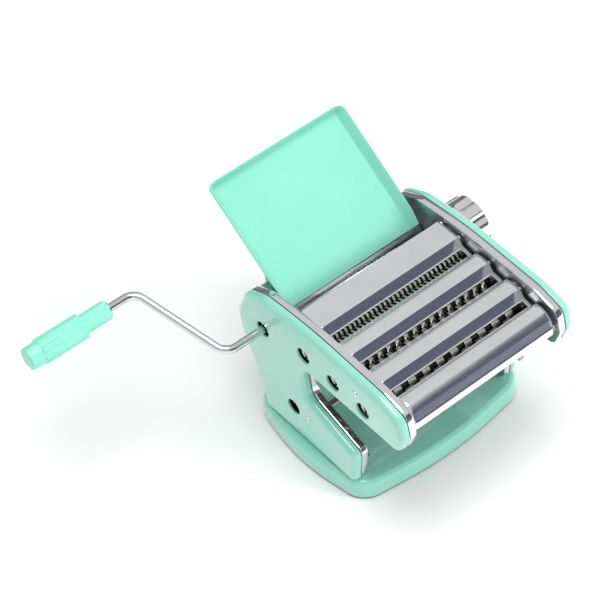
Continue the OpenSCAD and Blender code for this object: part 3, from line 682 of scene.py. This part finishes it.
def ridged_deck():
    profile, slots = deck_profile()
    inward = []
    for i, p in enumerate(profile):
        a, b = profile[max(i - 1, 0)], profile[min(i + 1, len(profile) - 1)]
        d = (b - a).normalized()
        inward.append(Vector((-d.y, d.x)))
    ends = [(80.6, 5.5), (80.6, 3.2), (80.3, 1.9), (79.6, 0.85), (78.6, 0.22), (77.2, 0.0)]
    columns = [(-x, d) for x, d in ends] + [(-SLOT_HALF, 0.0)]
    columns += [(-SLOT_HALF + 2 * SLOT_HALF * k / 12, 0.0) for k in range(1, 12)]
    columns += [(SLOT_HALF, 0.0)] + [(x, d) for x, d in reversed(ends)]
    build = Build()
    rows = [
        build.loop([(x, p.x + n.x * d, p.y + n.y * d) for p, n in zip(profile, inward)])
        for x, d in columns
    ]
    for j in range(len(rows) - 1):
        x_mid = (columns[j][0] + columns[j + 1][0]) / 2
        for i in range(len(profile) - 1):
            y_mid = (profile[i].x + profile[i + 1].x) / 2
            open_here = abs(x_mid) < SLOT_HALF and any(a < y_mid < b for a, b in slots)
            if not open_here:
                build.faces.append((rows[j][i], rows[j][i + 1], rows[j + 1][i + 1], rows[j + 1][i]))
    obj = made("ridged_deck", build.points, build.faces, deck_steel, closed=False)
    thick = obj.modifiers.new("sheet", "SOLIDIFY")
    thick.thickness, thick.offset = 1.0 * MM, -1.0
    probe = max(obj.data.polygons, key=lambda f: f.center.z)
    if probe.normal.z < 0:
        obj.data.flip_normals()
    return settle(obj, 24)


put(ridged_deck(), "frame", "deck_steel", "top_deck")


def rear_sheet():
    """Curved sheet behind the rollers."""
    line = rounded([
        (SPINE_Y - 20, THROAT_Z - 4, 0), (SPINE_Y - 8.3, ARM_TOP - 74, 60),
        (SPINE_Y - 5.2, ARM_TOP - 48, 40), (SPINE_Y - 11.6, ARM_TOP - 26.1, 0),
    ], 0, 3.0, closed=False)
    build = Build()
    xs = [-82.4, -81.8] + [-81.8 + 163.6 * k / 8 for k in range(1, 8)] + [81.8, 82.4]
    rows = [build.loop([(x, p.x, p.y) for p in line]) for x in xs]
    for a, b in zip(rows, rows[1:]):
        build.skin(a, b, closed=False)
    obj = made("rear_sheet", build.points, build.faces, deck_steel, closed=False)
    if sum(f.normal.y * f.area for f in obj.data.polygons) < 0:
        obj.data.flip_normals()
    thick = obj.modifiers.new("sheet", "SOLIDIFY")
    thick.thickness, thick.offset = 1.1 * MM, -1.0
    return settle(obj)


put(rear_sheet(), "frame", "deck_steel", "rear_cover")

# ---- cutting rollers ---------------------------------------------------------------------------

CUTTER_HALF = 79.0
RING_R, CORE_R = 9.3, 7.2


def ring_mesh(kind):
    """One cutting ring centred on X = 0: crowned, its rim rippled as its kind needs."""
    w = NOODLE_W[kind] - 0.14
    teeth, depth, skew = {"fine": (0, 0, 0), "medium": (10, 0.6, 1.0), "wide": (0, 0, 0)}[kind]
    crown = {"fine": 0.4, "medium": 0.25, "wide": 0.35}[kind]
    sides = 60
    points, faces = [], []
    stations = [(-0.5, 2.05)] + [(k / 10, crown * abs(k / 5) ** 3) for k in range(-5, 6)] + [(0.5, 2.05)]
    for t, drop in stations:
        for k in range(sides):
            a = 2 * math.pi * k / sides
            ripple = depth * (0.5 - 0.5 * math.cos(teeth * a + skew * t * 2 * math.pi))
            r = (RING_R - drop - (ripple if drop < 2 else 0)) * MM
            points.append((t * w * MM, r * math.cos(a), r * math.sin(a)))
    for j in range(len(stations) - 1):
        for k in range(sides):
            a, b = j * sides, (j + 1) * sides
            n = (k + 1) % sides
            faces.append((a + k, a + n, b + n, b + k))
    faces += [tuple(range(sides)), tuple(range((len(stations) - 1) * sides, len(stations) * sides))]
    mesh = bpy.data.meshes.new(kind + "_ring")
    mesh.from_pydata(points, [], faces)
    bm = bmesh.new()
    bm.from_mesh(mesh)
    bmesh.ops.recalc_face_normals(bm, faces=bm.faces)
    bm.to_mesh(mesh)
    bm.free()
    return mesh


def ring_row_tree():
    """Geometry nodes: copies of one ring set out along X, each turned a little past the last."""
    tree = bpy.data.node_groups.new("ring row", "GeometryNodeTree")
    face = tree.interface
    face.new_socket("Geometry", in_out="INPUT", socket_type="NodeSocketGeometry")
    for label, kind in (("Rings", "Int"), ("Pitch", "Float"), ("First", "Float"), ("Turn", "Float")):
        face.new_socket(label, in_out="INPUT", socket_type="NodeSocket" + kind)
    face.new_socket("Centre", in_out="INPUT", socket_type="NodeSocketVector")
    face.new_socket("Finish", in_out="INPUT", socket_type="NodeSocketMaterial")
    face.new_socket("Flanks", in_out="INPUT", socket_type="NodeSocketMaterial")
    face.new_socket("Geometry", in_out="OUTPUT", socket_type="NodeSocketGeometry")
    new, link = tree.nodes.new, tree.links.new
    given, out = new("NodeGroupInput"), new("NodeGroupOutput")
    line = new("GeometryNodeMeshLine")
    step, start = new("ShaderNodeCombineXYZ"), new("ShaderNodeCombineXYZ")
    link(given.outputs["Pitch"], step.inputs["X"])
    link(given.outputs["First"], start.inputs["X"])
    place = new("ShaderNodeVectorMath")
    place.operation = "ADD"
    link(start.outputs[0], place.inputs[0])
    link(given.outputs["Centre"], place.inputs[1])
    link(given.outputs["Rings"], line.inputs["Count"])
    link(place.outputs[0], line.inputs["Start Location"])
    link(step.outputs[0], line.inputs["Offset"])
    index, spin = new("GeometryNodeInputIndex"), new("ShaderNodeMath")
    spin.operation = "MULTIPLY"
    link(index.outputs[0], spin.inputs[0])
    link(given.outputs["Turn"], spin.inputs[1])
    about = new("ShaderNodeCombineXYZ")
    link(spin.outputs[0], about.inputs["X"])
    copies = new("GeometryNodeInstanceOnPoints")
    link(line.outputs["Mesh"], copies.inputs["Points"])
    link(given.outputs["Geometry"], copies.inputs["Instance"])
    link(about.outputs[0], copies.inputs["Rotation"])
    real, paint = new("GeometryNodeRealizeInstances"), new("GeometryNodeSetMaterial")
    link(copies.outputs[0], real.inputs[0])
    link(real.outputs[0], paint.inputs["Geometry"])
    link(given.outputs["Finish"], paint.inputs["Material"])
    # Faces turned along X, the ring flanks, take the Flanks material: painted shade in the grooves between rings.
    normal, split = new("GeometryNodeInputNormal"), new("ShaderNodeSeparateXYZ")
    size, steep = new("ShaderNodeMath"), new("FunctionNodeCompare")
    size.operation = "ABSOLUTE"
    steep.operation = "GREATER_THAN"
    steep.inputs["B"].default_value = 0.93
    link(normal.outputs[0], split.inputs[0])
    link(split.outputs["X"], size.inputs[0])
    link(size.outputs[0], steep.inputs["A"])
    flanks = new("GeometryNodeSetMaterial")
    link(paint.outputs[0], flanks.inputs["Geometry"])
    link(steep.outputs["Result"], flanks.inputs["Selection"])
    link(given.outputs["Flanks"], flanks.inputs["Material"])
    link(flanks.outputs[0], out.inputs[0])
    return tree


RING_ROW = ring_row_tree()


def ring_row(kind, part, axis, first, count):
    """The rings of one shaft."""
    obj = bpy.data.objects.new(f"{kind}_{part}_rings", ring_mesh(kind))
    bpy.context.scene.collection.objects.link(obj)
    modifier = obj.modifiers.new("rings", "NODES")
    modifier.node_group = RING_ROW
    ids = {s.name: s.identifier for s in RING_ROW.interface.items_tree if s.in_out == "INPUT"}
    modifier[ids["Rings"]] = count
    modifier[ids["Pitch"]] = 2 * NOODLE_W[kind] * MM
    modifier[ids["First"]] = first * MM
    modifier[ids["Turn"]] = {"fine": 0.0, "medium": -0.2 * 2 * math.pi, "wide": 0.0}[kind]
    modifier[ids["Centre"]] = (0.0, axis.x * MM, axis.y * MM)
    modifier[ids["Finish"]] = cutter_steel
    modifier[ids["Flanks"]] = groove_shade_steel
    return settle(obj, 28)


def shaft_profile(driven):
    """(x, r) along a cutter's shaft; a driven one starts with its crank socket."""
    gear_end = span("fine_driven_cutter")[1].x
    mouth = span("fine_driven_cutter")[0].x
    if driven:
        left = [(mouth + 9, 0), (mouth + 9, 4.05), (mouth + 0.5, 4.05), (mouth, 4.5), (mouth, 6.1),
                (mouth + 0.4, 6.45), (-BAND_X0 - 3.2, 6.45), (-BAND_X0 - 3.2, 4)]
    else:
        left = [(-BAND_X0 - 3.2, 0), (-BAND_X0 - 3.2, 4)]
    return left + [
        (-CUTTER_HALF, 4), (-CUTTER_HALF, CORE_R), (CUTTER_HALF, CORE_R), (CUTTER_HALF, 4),
        (gear_end - 0.4, 4), (gear_end, 3.6), (gear_end, 0),
    ]


def cut_key_slot(obj, axis, mouth):
    """Cuts the cross slot that takes the crank's pin."""
    half_w, reach = 1.3, 8
    points = [
        (x, axis.x + y, axis.y + z)
        for x in (mouth - 1, mouth + 4) for y in (-half_w, half_w) for z in (-reach, reach)
    ]
    faces = [(0, 1, 3, 2), (4, 6, 7, 5), (0, 4, 5, 1), (2, 3, 7, 6), (0, 2, 6, 4), (1, 5, 7, 3)]
    tool = made("slot_tool", points, faces, screw_steel)
    cut = obj.modifiers.new("slot", "BOOLEAN")
    cut.operation, cut.solver, cut.object = "DIFFERENCE", "EXACT", tool
    settle(obj)
    bpy.data.objects.remove(tool)
    return obj


for kind, (driven_axis, idler_axis) in CUTTERS.items():
    w = NOODLE_W[kind]
    places = 2 * math.floor(CUTTER_HALF / w - 1) + 1
    for part, axis, skip in (("driven", driven_axis, 0), ("idler", idler_axis, 1)):
        node, body = f"{kind}_{part}_cutter", f"{kind}_{part}"
        first = (skip - (places - 1) / 2) * w
        rings = ring_row(kind, part, axis, first, len(range(skip, places, 2)))
        put(rings, body, "cutter_steel", node)
        shaft = turned(f"{kind}_{part}_shaft", axis, shaft_profile(part == "driven"), cutter_steel, 48)
        if part == "driven":
            cut_key_slot(shaft, axis, span(node)[0].x)
        # The core between the rings takes the near-black material: painted shade in the grooves.
        shaft.data.materials.append(groove_shade_steel)
        for polygon in shaft.data.polygons:
            polygon.material_index = int(abs(polygon.center.x) < (CUTTER_HALF + 0.1) * MM)
        put(shaft, body, "cutter_steel", node)
        smooth_copy(f"{kind}_{part}_gear", body, "gear_steel", gear_steel, 20)

# ---- smooth rollers and small parts carried over from the frame --------------------------------

smooth_copy("drive_roller", "drive", "roller_steel", roller_steel)
smooth_copy("drive_gear", "drive", "gear_steel", gear_steel, 20)
smooth_copy("adjustable_roller", "front_roller", "roller_steel", roller_steel)
smooth_copy("adjustable_gear", "front_roller", "gear_steel", gear_steel, 20)
smooth_copy("roller_shaft", "carriage", "hardware", screw_steel)
smooth_copy("adjuster_spindle", "adjuster", "hardware", screw_steel)
smooth_copy("crank_pin", "crank", "hardware", screw_steel)
smooth_copy("grip_washer", "crank", "hardware", screw_steel)
smooth_copy("index_plate", "frame", "knob_chrome", knob_chrome)
# The foot tie rod takes the darker side plate steel as painted shade, for where it sits in shade inside the side's
# gap.
smooth_copy("foot_tie_rod", "frame", "hardware", plate_steel_and_rod_shade)
for node in ("arm_tie_rod", "spine_tie_rod", "nose_tie_rod", "nose_bolt",
             "frame_screws", "base_bolts"):
    smooth_copy(node, "frame", "hardware", screw_steel)
for node in ("left_drive_bush", "right_drive_bush"):
    smooth_copy(node, "frame", "nylon", dark_nylon)


def dress(material, *nodes):
    """Gives CAD nodes that stay in view their finish."""
    for node in nodes:
        mesh = frame["nodes"][node].data
        mesh.materials.clear()
        mesh.materials.append(material)


dress(plate_steel_and_rod_shade, "left_side_plate", "right_side_plate", "left_foot_bracket", "right_foot_bracket")
dress(dark_nylon, "fine_comb", "medium_comb", "wide_comb", "front_roller_scraper", "rear_roller_scraper")

# ---- gap knob ----------------------------------------------------------------------------------

KNOB_X0, KNOB_X1 = COVER_X + 4, span("knob_cap")[1].x
CAP_R = (span("knob_cap")[1].z - span("knob_cap")[0].z) / 2
KNOB_R = CAP_R + 8


def scalloped(r, x, angle, lobes=8):
    """Radius of the knob with its scallops, which run out in a ball end near the back."""
    depth_in = x - (KNOB_X0 + 5)
    if depth_in <= 0 or r < KNOB_R - 4:
        return r
    run = min(depth_in / 4.0, 1.0)
    pitch = 2 * math.pi / lobes
    off = angle % pitch - pitch / 2
    reach, hollow = KNOB_R + 3.0, 6.0 * math.sqrt(max(1 - (1 - run) ** 2, 0))
    across = reach * math.sin(off)
    if abs(across) >= hollow:
        return r
    floor = reach * math.cos(off) - math.sqrt(hollow**2 - across**2)
    if floor > r + 1.2:
        return r
    h = max(0.0, min(1.0, 0.5 + 0.5 * (r - floor) / 0.9))
    return r * (1 - h) + floor * h - 0.45 * h * (1 - h)


def knob_body():
    x0, x1, r = KNOB_X0, KNOB_X1, KNOB_R
    profile = [(x0, 4.3), (x0, r - 0.9), (x0 + 0.25, r - 0.25), (x0 + 0.9, r)]
    profile += [(x0 + 5 + 0.5 * k, r) for k in range(0, 9)]
    profile += [(x0 + 10 + (x1 - x0 - 12.4) * k / 6, r) for k in range(0, 7)]
    profile += [(x1 - 2.2 + 2.2 * math.sin(a), r - 2.2 + 2.2 * math.cos(a)) for a in quarter(6)]
    profile += [(x1, CAP_R + 2.2), (x1 - 0.35, CAP_R + 1.2), (x1 - 1.2, CAP_R + 0.2), (x1 - 2.5, CAP_R)]
    profile += [(x1 - 2.5, 8.0), (x0 + 4, 8.0), (x0 + 4, 4.3)]
    build = Build()
    sides = 8 * 24
    rows = []
    for x, q in profile:
        ring = []
        for k in range(sides):
            a = 2 * math.pi * (k + 0.5) / sides
            s = scalloped(q, x, a - math.pi / 8)
            ring.append((x, KNOB.x + s * math.cos(a), KNOB.y + s * math.sin(a)))
        rows.append(build.loop(ring))
    for i in range(len(rows)):
        build.skin(rows[i], rows[(i + 1) % len(rows)])
    pin = build.skin_all([circle(KNOB.x + 12, KNOB.y, x, 1.0, 20) for x in (x0 - 1.7, x0 + 0.5)])
    build.fill(pin[0])
    build.fill(pin[1])
    return build.object("scalloped_knob", knob_chrome, 38)


put(knob_body(), "knob", "knob_chrome", "adjusting_knob")
cap_steps = [
    (2.5, 0), (2.5, CAP_R - 0.4), (1.4, CAP_R - 0.4), (1, CAP_R - 0.7), (0.8, CAP_R - 1.8),
    (0.5, 9.0), (0.35, 5.0), (0.3, 0),
]
cap_profile = [(KNOB_X1 - depth, r) for depth, r in cap_steps]
put(turned("knob_face_cap", KNOB, cap_profile, knob_chrome, 72), "knob", "knob_chrome", "knob_cap")


def knob_coil():
    """Coil spring between the knob's floor and the spindle's head."""
    low, high = span("knob_spring")
    wire, turns, sides = 0.55, 7, 10
    build, rows = Build(), []
    r = (high.z - low.z) / 2 - wire - 0.05
    steps = turns * 28
    for k in range(steps + 1):
        a = 2 * math.pi * turns * k / steps
        x = low.x + wire + (high.x - low.x - 2 * wire) * k / steps
        ring = []
        for j in range(sides):
            b = 2 * math.pi * j / sides
            q = r + wire * math.cos(b)
            ring.append((x + wire * math.sin(b), KNOB.x + q * math.cos(a), KNOB.y + q * math.sin(a)))
        rows.append(build.loop(ring))
    for a, b in zip(rows, rows[1:]):
        build.skin(a, b)
    build.faces += [tuple(rows[0]), tuple(rows[-1])]
    return build.object("knob_coil", screw_steel, 60)


coil = put(knob_coil(), "adjuster", "hardware", "knob_spring")
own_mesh(coil)

# ---- crank -------------------------------------------------------------------------------------

LEAN = math.radians(18)
CRANK_R = 95.0
ROD_R = 4.0
GRIP_X0, GRIP_X1 = -span("grip")[1].x, -span("grip")[0].x
TIP_X = -span("crank_rod")[1].x
BEND_X = GRIP_X0 - 60


def on_crank(u, v, w):
    """Point of the crank: u outwards from the machine, v towards the grip, w across."""
    c, s = math.cos(LEAN), math.sin(LEAN)
    return (-u, DRIVE.x + v * c - w * s, DRIVE.y + v * s + w * c)


def bent_rod():
    """Round bar drawn along a line with two bends; its tip is chamfered."""
    bend_r = 15
    corners = [(TIP_X, 0, 0), (BEND_X, 0, bend_r), (BEND_X + 30, CRANK_R, bend_r), (GRIP_X1 - 5, CRANK_R, 0)]
    path = rounded(corners, 0, 4.5, closed=False)
    start = [(path[0], ROD_R - 0.8), (path[0] + Vector((0.8, 0)), ROD_R), (path[0] + Vector((3, 0)), ROD_R)]
    stations = start + [(p, ROD_R) for p in path[1:]]
    build, rows = Build(), []
    for i, (p, r) in enumerate(stations):
        a = stations[max(i - 1, 0)][0]
        b = stations[min(i + 1, len(stations) - 1)][0]
        d = (b - a).normalized()
        n = Vector((-d.y, d.x))
        ring = []
        for k in range(32):
            t = 2 * math.pi * k / 32
            q = p + n * r * math.cos(t)
            ring.append(on_crank(q.x, q.y, r * math.sin(t)))
        rows.append(build.loop(ring))
    for a, b in zip(rows, rows[1:]):
        build.skin(a, b)
    build.faces += [tuple(rows[0]), tuple(rows[-1])]
    return build.object("bent_crank_rod", crank_chrome, 40)


put(bent_rod(), "crank", "crank_chrome", "crank_rod")


def fluted_grip():
    """Grip with a slimmer neck, a fluted middle and a plain end."""
    sides, flutes = 8 * 20, 8
    neck, tail, length = 27.0, 13.0, GRIP_X1 - GRIP_X0
    bore_r = 4.4
    stations = [(0.0, bore_r, 0), (0.0, 7.9, 0), (0.3, 8.9, 0.2), (1.3, 9.5, 0.5), (4.0, 9.5, 0.7),
                (neck - 1.6, 9.5, 0.7), (neck - 0.4, 9.7, 0.8), (neck, 11.2, 1.1),
                (neck + 0.5, 12.1, 1.2), (neck + 1.6, 12.5, 1.25)]
    end = length - tail
    stations += [(end - 1.6, 12.5, 1.25), (end - 0.5, 12.1, 1.1), (end, 11.2, 0.5), (end + 0.6, 11.0, 0.25),
                 (end + 2.5, 11.0, 0.2), (length - 1.6, 10.9, 0.15), (length - 0.5, 10.4, 0),
                 (length, 9.3, 0), (length, 0.0, 0)]
    build, rows = Build(), []
    for u, r, depth in stations:
        ring = []
        for k in range(sides):
            a = 2 * math.pi * k / sides
            off = (a * flutes / (2 * math.pi) + 0.5) % 1 - 0.5
            hollow = depth * max(0.0, 1 - (off / 0.30) ** 2) if abs(off) < 0.30 else 0.0
            q = r - hollow
            ring.append(on_crank(GRIP_X0 + u, CRANK_R + q * math.cos(a), q * math.sin(a)))
        rows.append(build.loop(ring))
    angles = [2 * math.pi * k / sides for k in range(sides)]
    bore_end = GRIP_X0 + length - 4
    bore = build.loop([
        on_crank(bore_end, CRANK_R + bore_r * math.cos(a), bore_r * math.sin(a)) for a in angles
    ])
    build.skin(rows[0], bore)
    build.faces.append(tuple(bore))
    for a, b in zip(rows, rows[1:]):
        build.skin(a, b)
    return build.object("fluted_grip", grip_plastic, 34)


put(fluted_grip(), "grip", "grip_plastic", "grip")

# ---- dough tray --------------------------------------------------------------------------------

TILT = math.radians(36)
TRAY_FOOT = Vector((DRIVE.x - 7.8, DRIVE.y + 13.5))
TRAY_HALF, TRAY_L, WALL_H, SPLAY, BACK_LEAN, TRAY_T = 71.0, 127.0, 9.0, 6.0, 3.0, 1.6


def on_tray(x, s, h):
    """Point of the tray: s up its slope, h off its floor."""
    across, up = math.cos(TILT), math.sin(TILT)
    return (x, TRAY_FOOT.x + s * across - h * up, TRAY_FOOT.y + s * up + h * across)


def tray_rim():
    """The floor's edge from the lower left corner round the top, with the way each wall leans."""
    r, out = 3.0, []
    for k in range(9):
        s = 0.4 + (TRAY_L - r) * k / 8
        out.append((-TRAY_HALF, min(s, TRAY_L - r), -1.0, 0.0))
    for k in range(1, 12):
        a = math.radians(180 - 90 * k / 12)
        dx, ds = math.cos(a), math.sin(a)
        out.append((-TRAY_HALF + r + r * dx, TRAY_L - r + r * ds, dx, ds))
    out.append((-TRAY_HALF + r, TRAY_L, 0.0, 1.0))
    mirrored = [(-x, s, -dx, ds) for x, s, dx, ds in reversed(out)]
    return out + mirrored


def tray_shell():
    rim = tray_rim()
    section = [(-2.2, 0.0), (-1.3, 0.16), (-0.55, 0.62), (-0.1, 1.35), (0.12, 2.3)]
    section += [(0.12 + 0.83 * k / 4, 2.3 + (WALL_H - 2.5) * k / 4) for k in range(1, 5)] + [(1.0, WALL_H)]
    build, rows = Build(), []
    for f, h in section:
        loop = []
        for x, s, dx, ds in rim:
            if f < 0.12:
                px, ps = x + dx * (f if f < 0 else 0), s + ds * (f if f < 0 else 0)
                t = max(f, 0)
            else:
                px, ps, t = x, s, f
            end = min(1.0, (s + 0.2) / 3.5)
            height = h * (0.5 + 0.5 * math.sqrt(max(1 - (1 - end) ** 2, 0))) if h > 2 else h
            lean = t * height / max(h, 0.01) if h > 2 else t
            loop.append(on_tray(px + dx * SPLAY * lean, ps + ds * BACK_LEAN * lean, height))
        rows.append(build.loop(loop))
    for a, b in zip(rows, rows[1:]):
        build.skin(a, b, closed=False)
    foot = rows[0]
    half = len(foot) // 2
    for i in range(half - 1):
        a, b, c, d = foot[i], foot[i + 1], foot[-2 - i], foot[-1 - i]
        build.faces.append((a, b, c, d))
    obj = made("dough_tray", build.points, build.faces, tray_plastic, closed=False)
    bm = bmesh.new()
    bm.from_mesh(obj.data)
    bmesh.ops.recalc_face_normals(bm, faces=bm.faces)
    floor_up = sum(f.normal.z * f.calc_area() for f in bm.faces)
    if floor_up < 0:
        bmesh.ops.reverse_faces(bm, faces=bm.faces)
    bm.to_mesh(obj.data)
    bm.free()
    thick = obj.modifiers.new("wall", "SOLIDIFY")
    thick.thickness, thick.offset, thick.use_even_offset = TRAY_T * MM, -1.0, True
    edge = obj.modifiers.new("soft edges", "BEVEL")
    edge.width, edge.segments, edge.limit_method, edge.angle_limit = 0.4 * MM, 2, "ANGLE", math.radians(50)
    return settle(obj, 40)


put(tray_shell(), "tray", "tray_plastic", "tray")


def tray_ribs():
    """Two ribs under the tray, notched to hook over the rear cover."""
    top_y, top_z = SPINE_Y - 11, ARM_TOP - 26
    slope = math.tan(TILT)

    def under(y):
        return TRAY_FOOT.y + (y - TRAY_FOOT.x) * slope - 1.2

    foot_z = top_z - 12
    heel_y, toe_y, notch_y = top_y - 9, top_y + 7, top_y - 1.7
    notch_z = top_z + 0.3
    notch_foot = top_y + 0.5 + 6 * (notch_z - foot_z) / 22
    line = [
        (heel_y, foot_z), (notch_y, foot_z), (notch_y, notch_z), (top_y + 0.5, notch_z),
        (notch_foot, foot_z), (toe_y, foot_z), (toe_y, under(toe_y)), (heel_y, under(heel_y)),
    ]
    build = Build()
    for x in (-TRAY_HALF + 6, TRAY_HALF - 6):
        rows = build.skin_all([[(x + s * 1.5, y, z) for y, z in line] for s in (-1, 1)])
        build.fill(rows[0])
        build.fill(rows[1])
    return build.object("tray_ribs", tray_plastic)


put(tray_ribs(), "tray", "tray_plastic", "tray")

# ---- studio ------------------------------------------------------------------------------------


def studio_sheet(name, centre, across, up, material):
    """Flat rectangle at a place, in metres."""
    c, a, b = Vector(centre), Vector(across), Vector(up)
    mesh = bpy.data.meshes.new(name)
    mesh.from_pydata([c - a - b, c + a - b, c + a + b, c - a + b], [], [(0, 1, 2, 3)])
    mesh.materials.append(material)
    obj = bpy.data.objects.new(name, mesh)
    bpy.context.scene.collection.objects.link(obj)
    return obj


def plain(name, colour, rough):
    material = bpy.data.materials.new(name)
    material.use_nodes = True
    shader = material.node_tree.nodes["Principled BSDF"]
    shader.inputs["Base Color"].default_value = (*colour, 1)
    shader.inputs["Roughness"].default_value = rough
    shader.inputs["Specular IOR Level"].default_value = 0.0
    return material


studio_sheet("floor", (0, 0, 0), (9, 0, 0), (0, 9, 0), plain("pale floor", (0.93, 0.93, 0.93), 0.9))
dark_card = plain("dark studio card", (0.125, 0.135, 0.18), 0.9)
grey_card = plain("grey studio card", (0.2, 0.205, 0.2), 0.9)
for name, centre, across, up, tone in (
    ("front_card", (1.15, -2.8, 1.5), (2.0, 0.5, 0), (0, 0, 1.4), dark_card),
    ("rear_card", (1.3, 2.9, 1.1), (1.6, -0.5, 0), (0, 0, 1.1), grey_card),
):
    card = studio_sheet(name, centre, across, up, tone)
    card.visible_camera = card.visible_diffuse = card.visible_shadow = False
    card.visible_transmission = card.visible_volume_scatter = False

world = bpy.data.worlds.new("studio")
bpy.context.scene.world = world
world.use_nodes = True
world.node_tree.nodes["Background"].inputs["Color"].default_value = (1, 1, 1, 1)
world.node_tree.nodes["Background"].inputs["Strength"].default_value = 0.68


def lamp(name, place, target, size, power):
    light = bpy.data.lights.new(name, "AREA")
    light.shape, light.size, light.energy = "DISK", size, power
    obj = bpy.data.objects.new(name, light)
    bpy.context.scene.collection.objects.link(obj)
    obj.location = place
    obj.rotation_mode = "QUATERNION"
    obj.rotation_quaternion = (Vector(target) - Vector(place)).to_track_quat("-Z", "Y")
    return obj


lamp("overhead", (-0.2, -0.2, 2.7), (0, 0, 0.1), 1.5, 34)
lamp("window", (1.5, -2.3, 1.5), (0, 0, 0.1), 1.2, 44).visible_glossy = False

camera_data = bpy.data.cameras.new("camera")
camera_data.lens, camera_data.sensor_width = 140.0, 36.0
camera_data.clip_start, camera_data.clip_end = 0.1, 50.0
camera = bpy.data.objects.new("camera", camera_data)
bpy.context.scene.collection.objects.link(camera)
back = -Vector((0.3835, 0.5498, -0.7421))
right = Vector((0.7713, -0.6326, -0.0701))
right = (right - right.dot(back) * back / back.length_squared).normalized()
back.normalize()
above = back.cross(right)
camera.matrix_world = Matrix((
    (right.x, above.x, back.x, -0.8675),
    (right.y, above.y, back.y, -1.1235),
    (right.z, above.z, back.z, 1.7125),
    (0, 0, 0, 1),
))
bpy.context.scene.camera = camera
bpy.context.scene.view_settings.view_transform = "Standard"
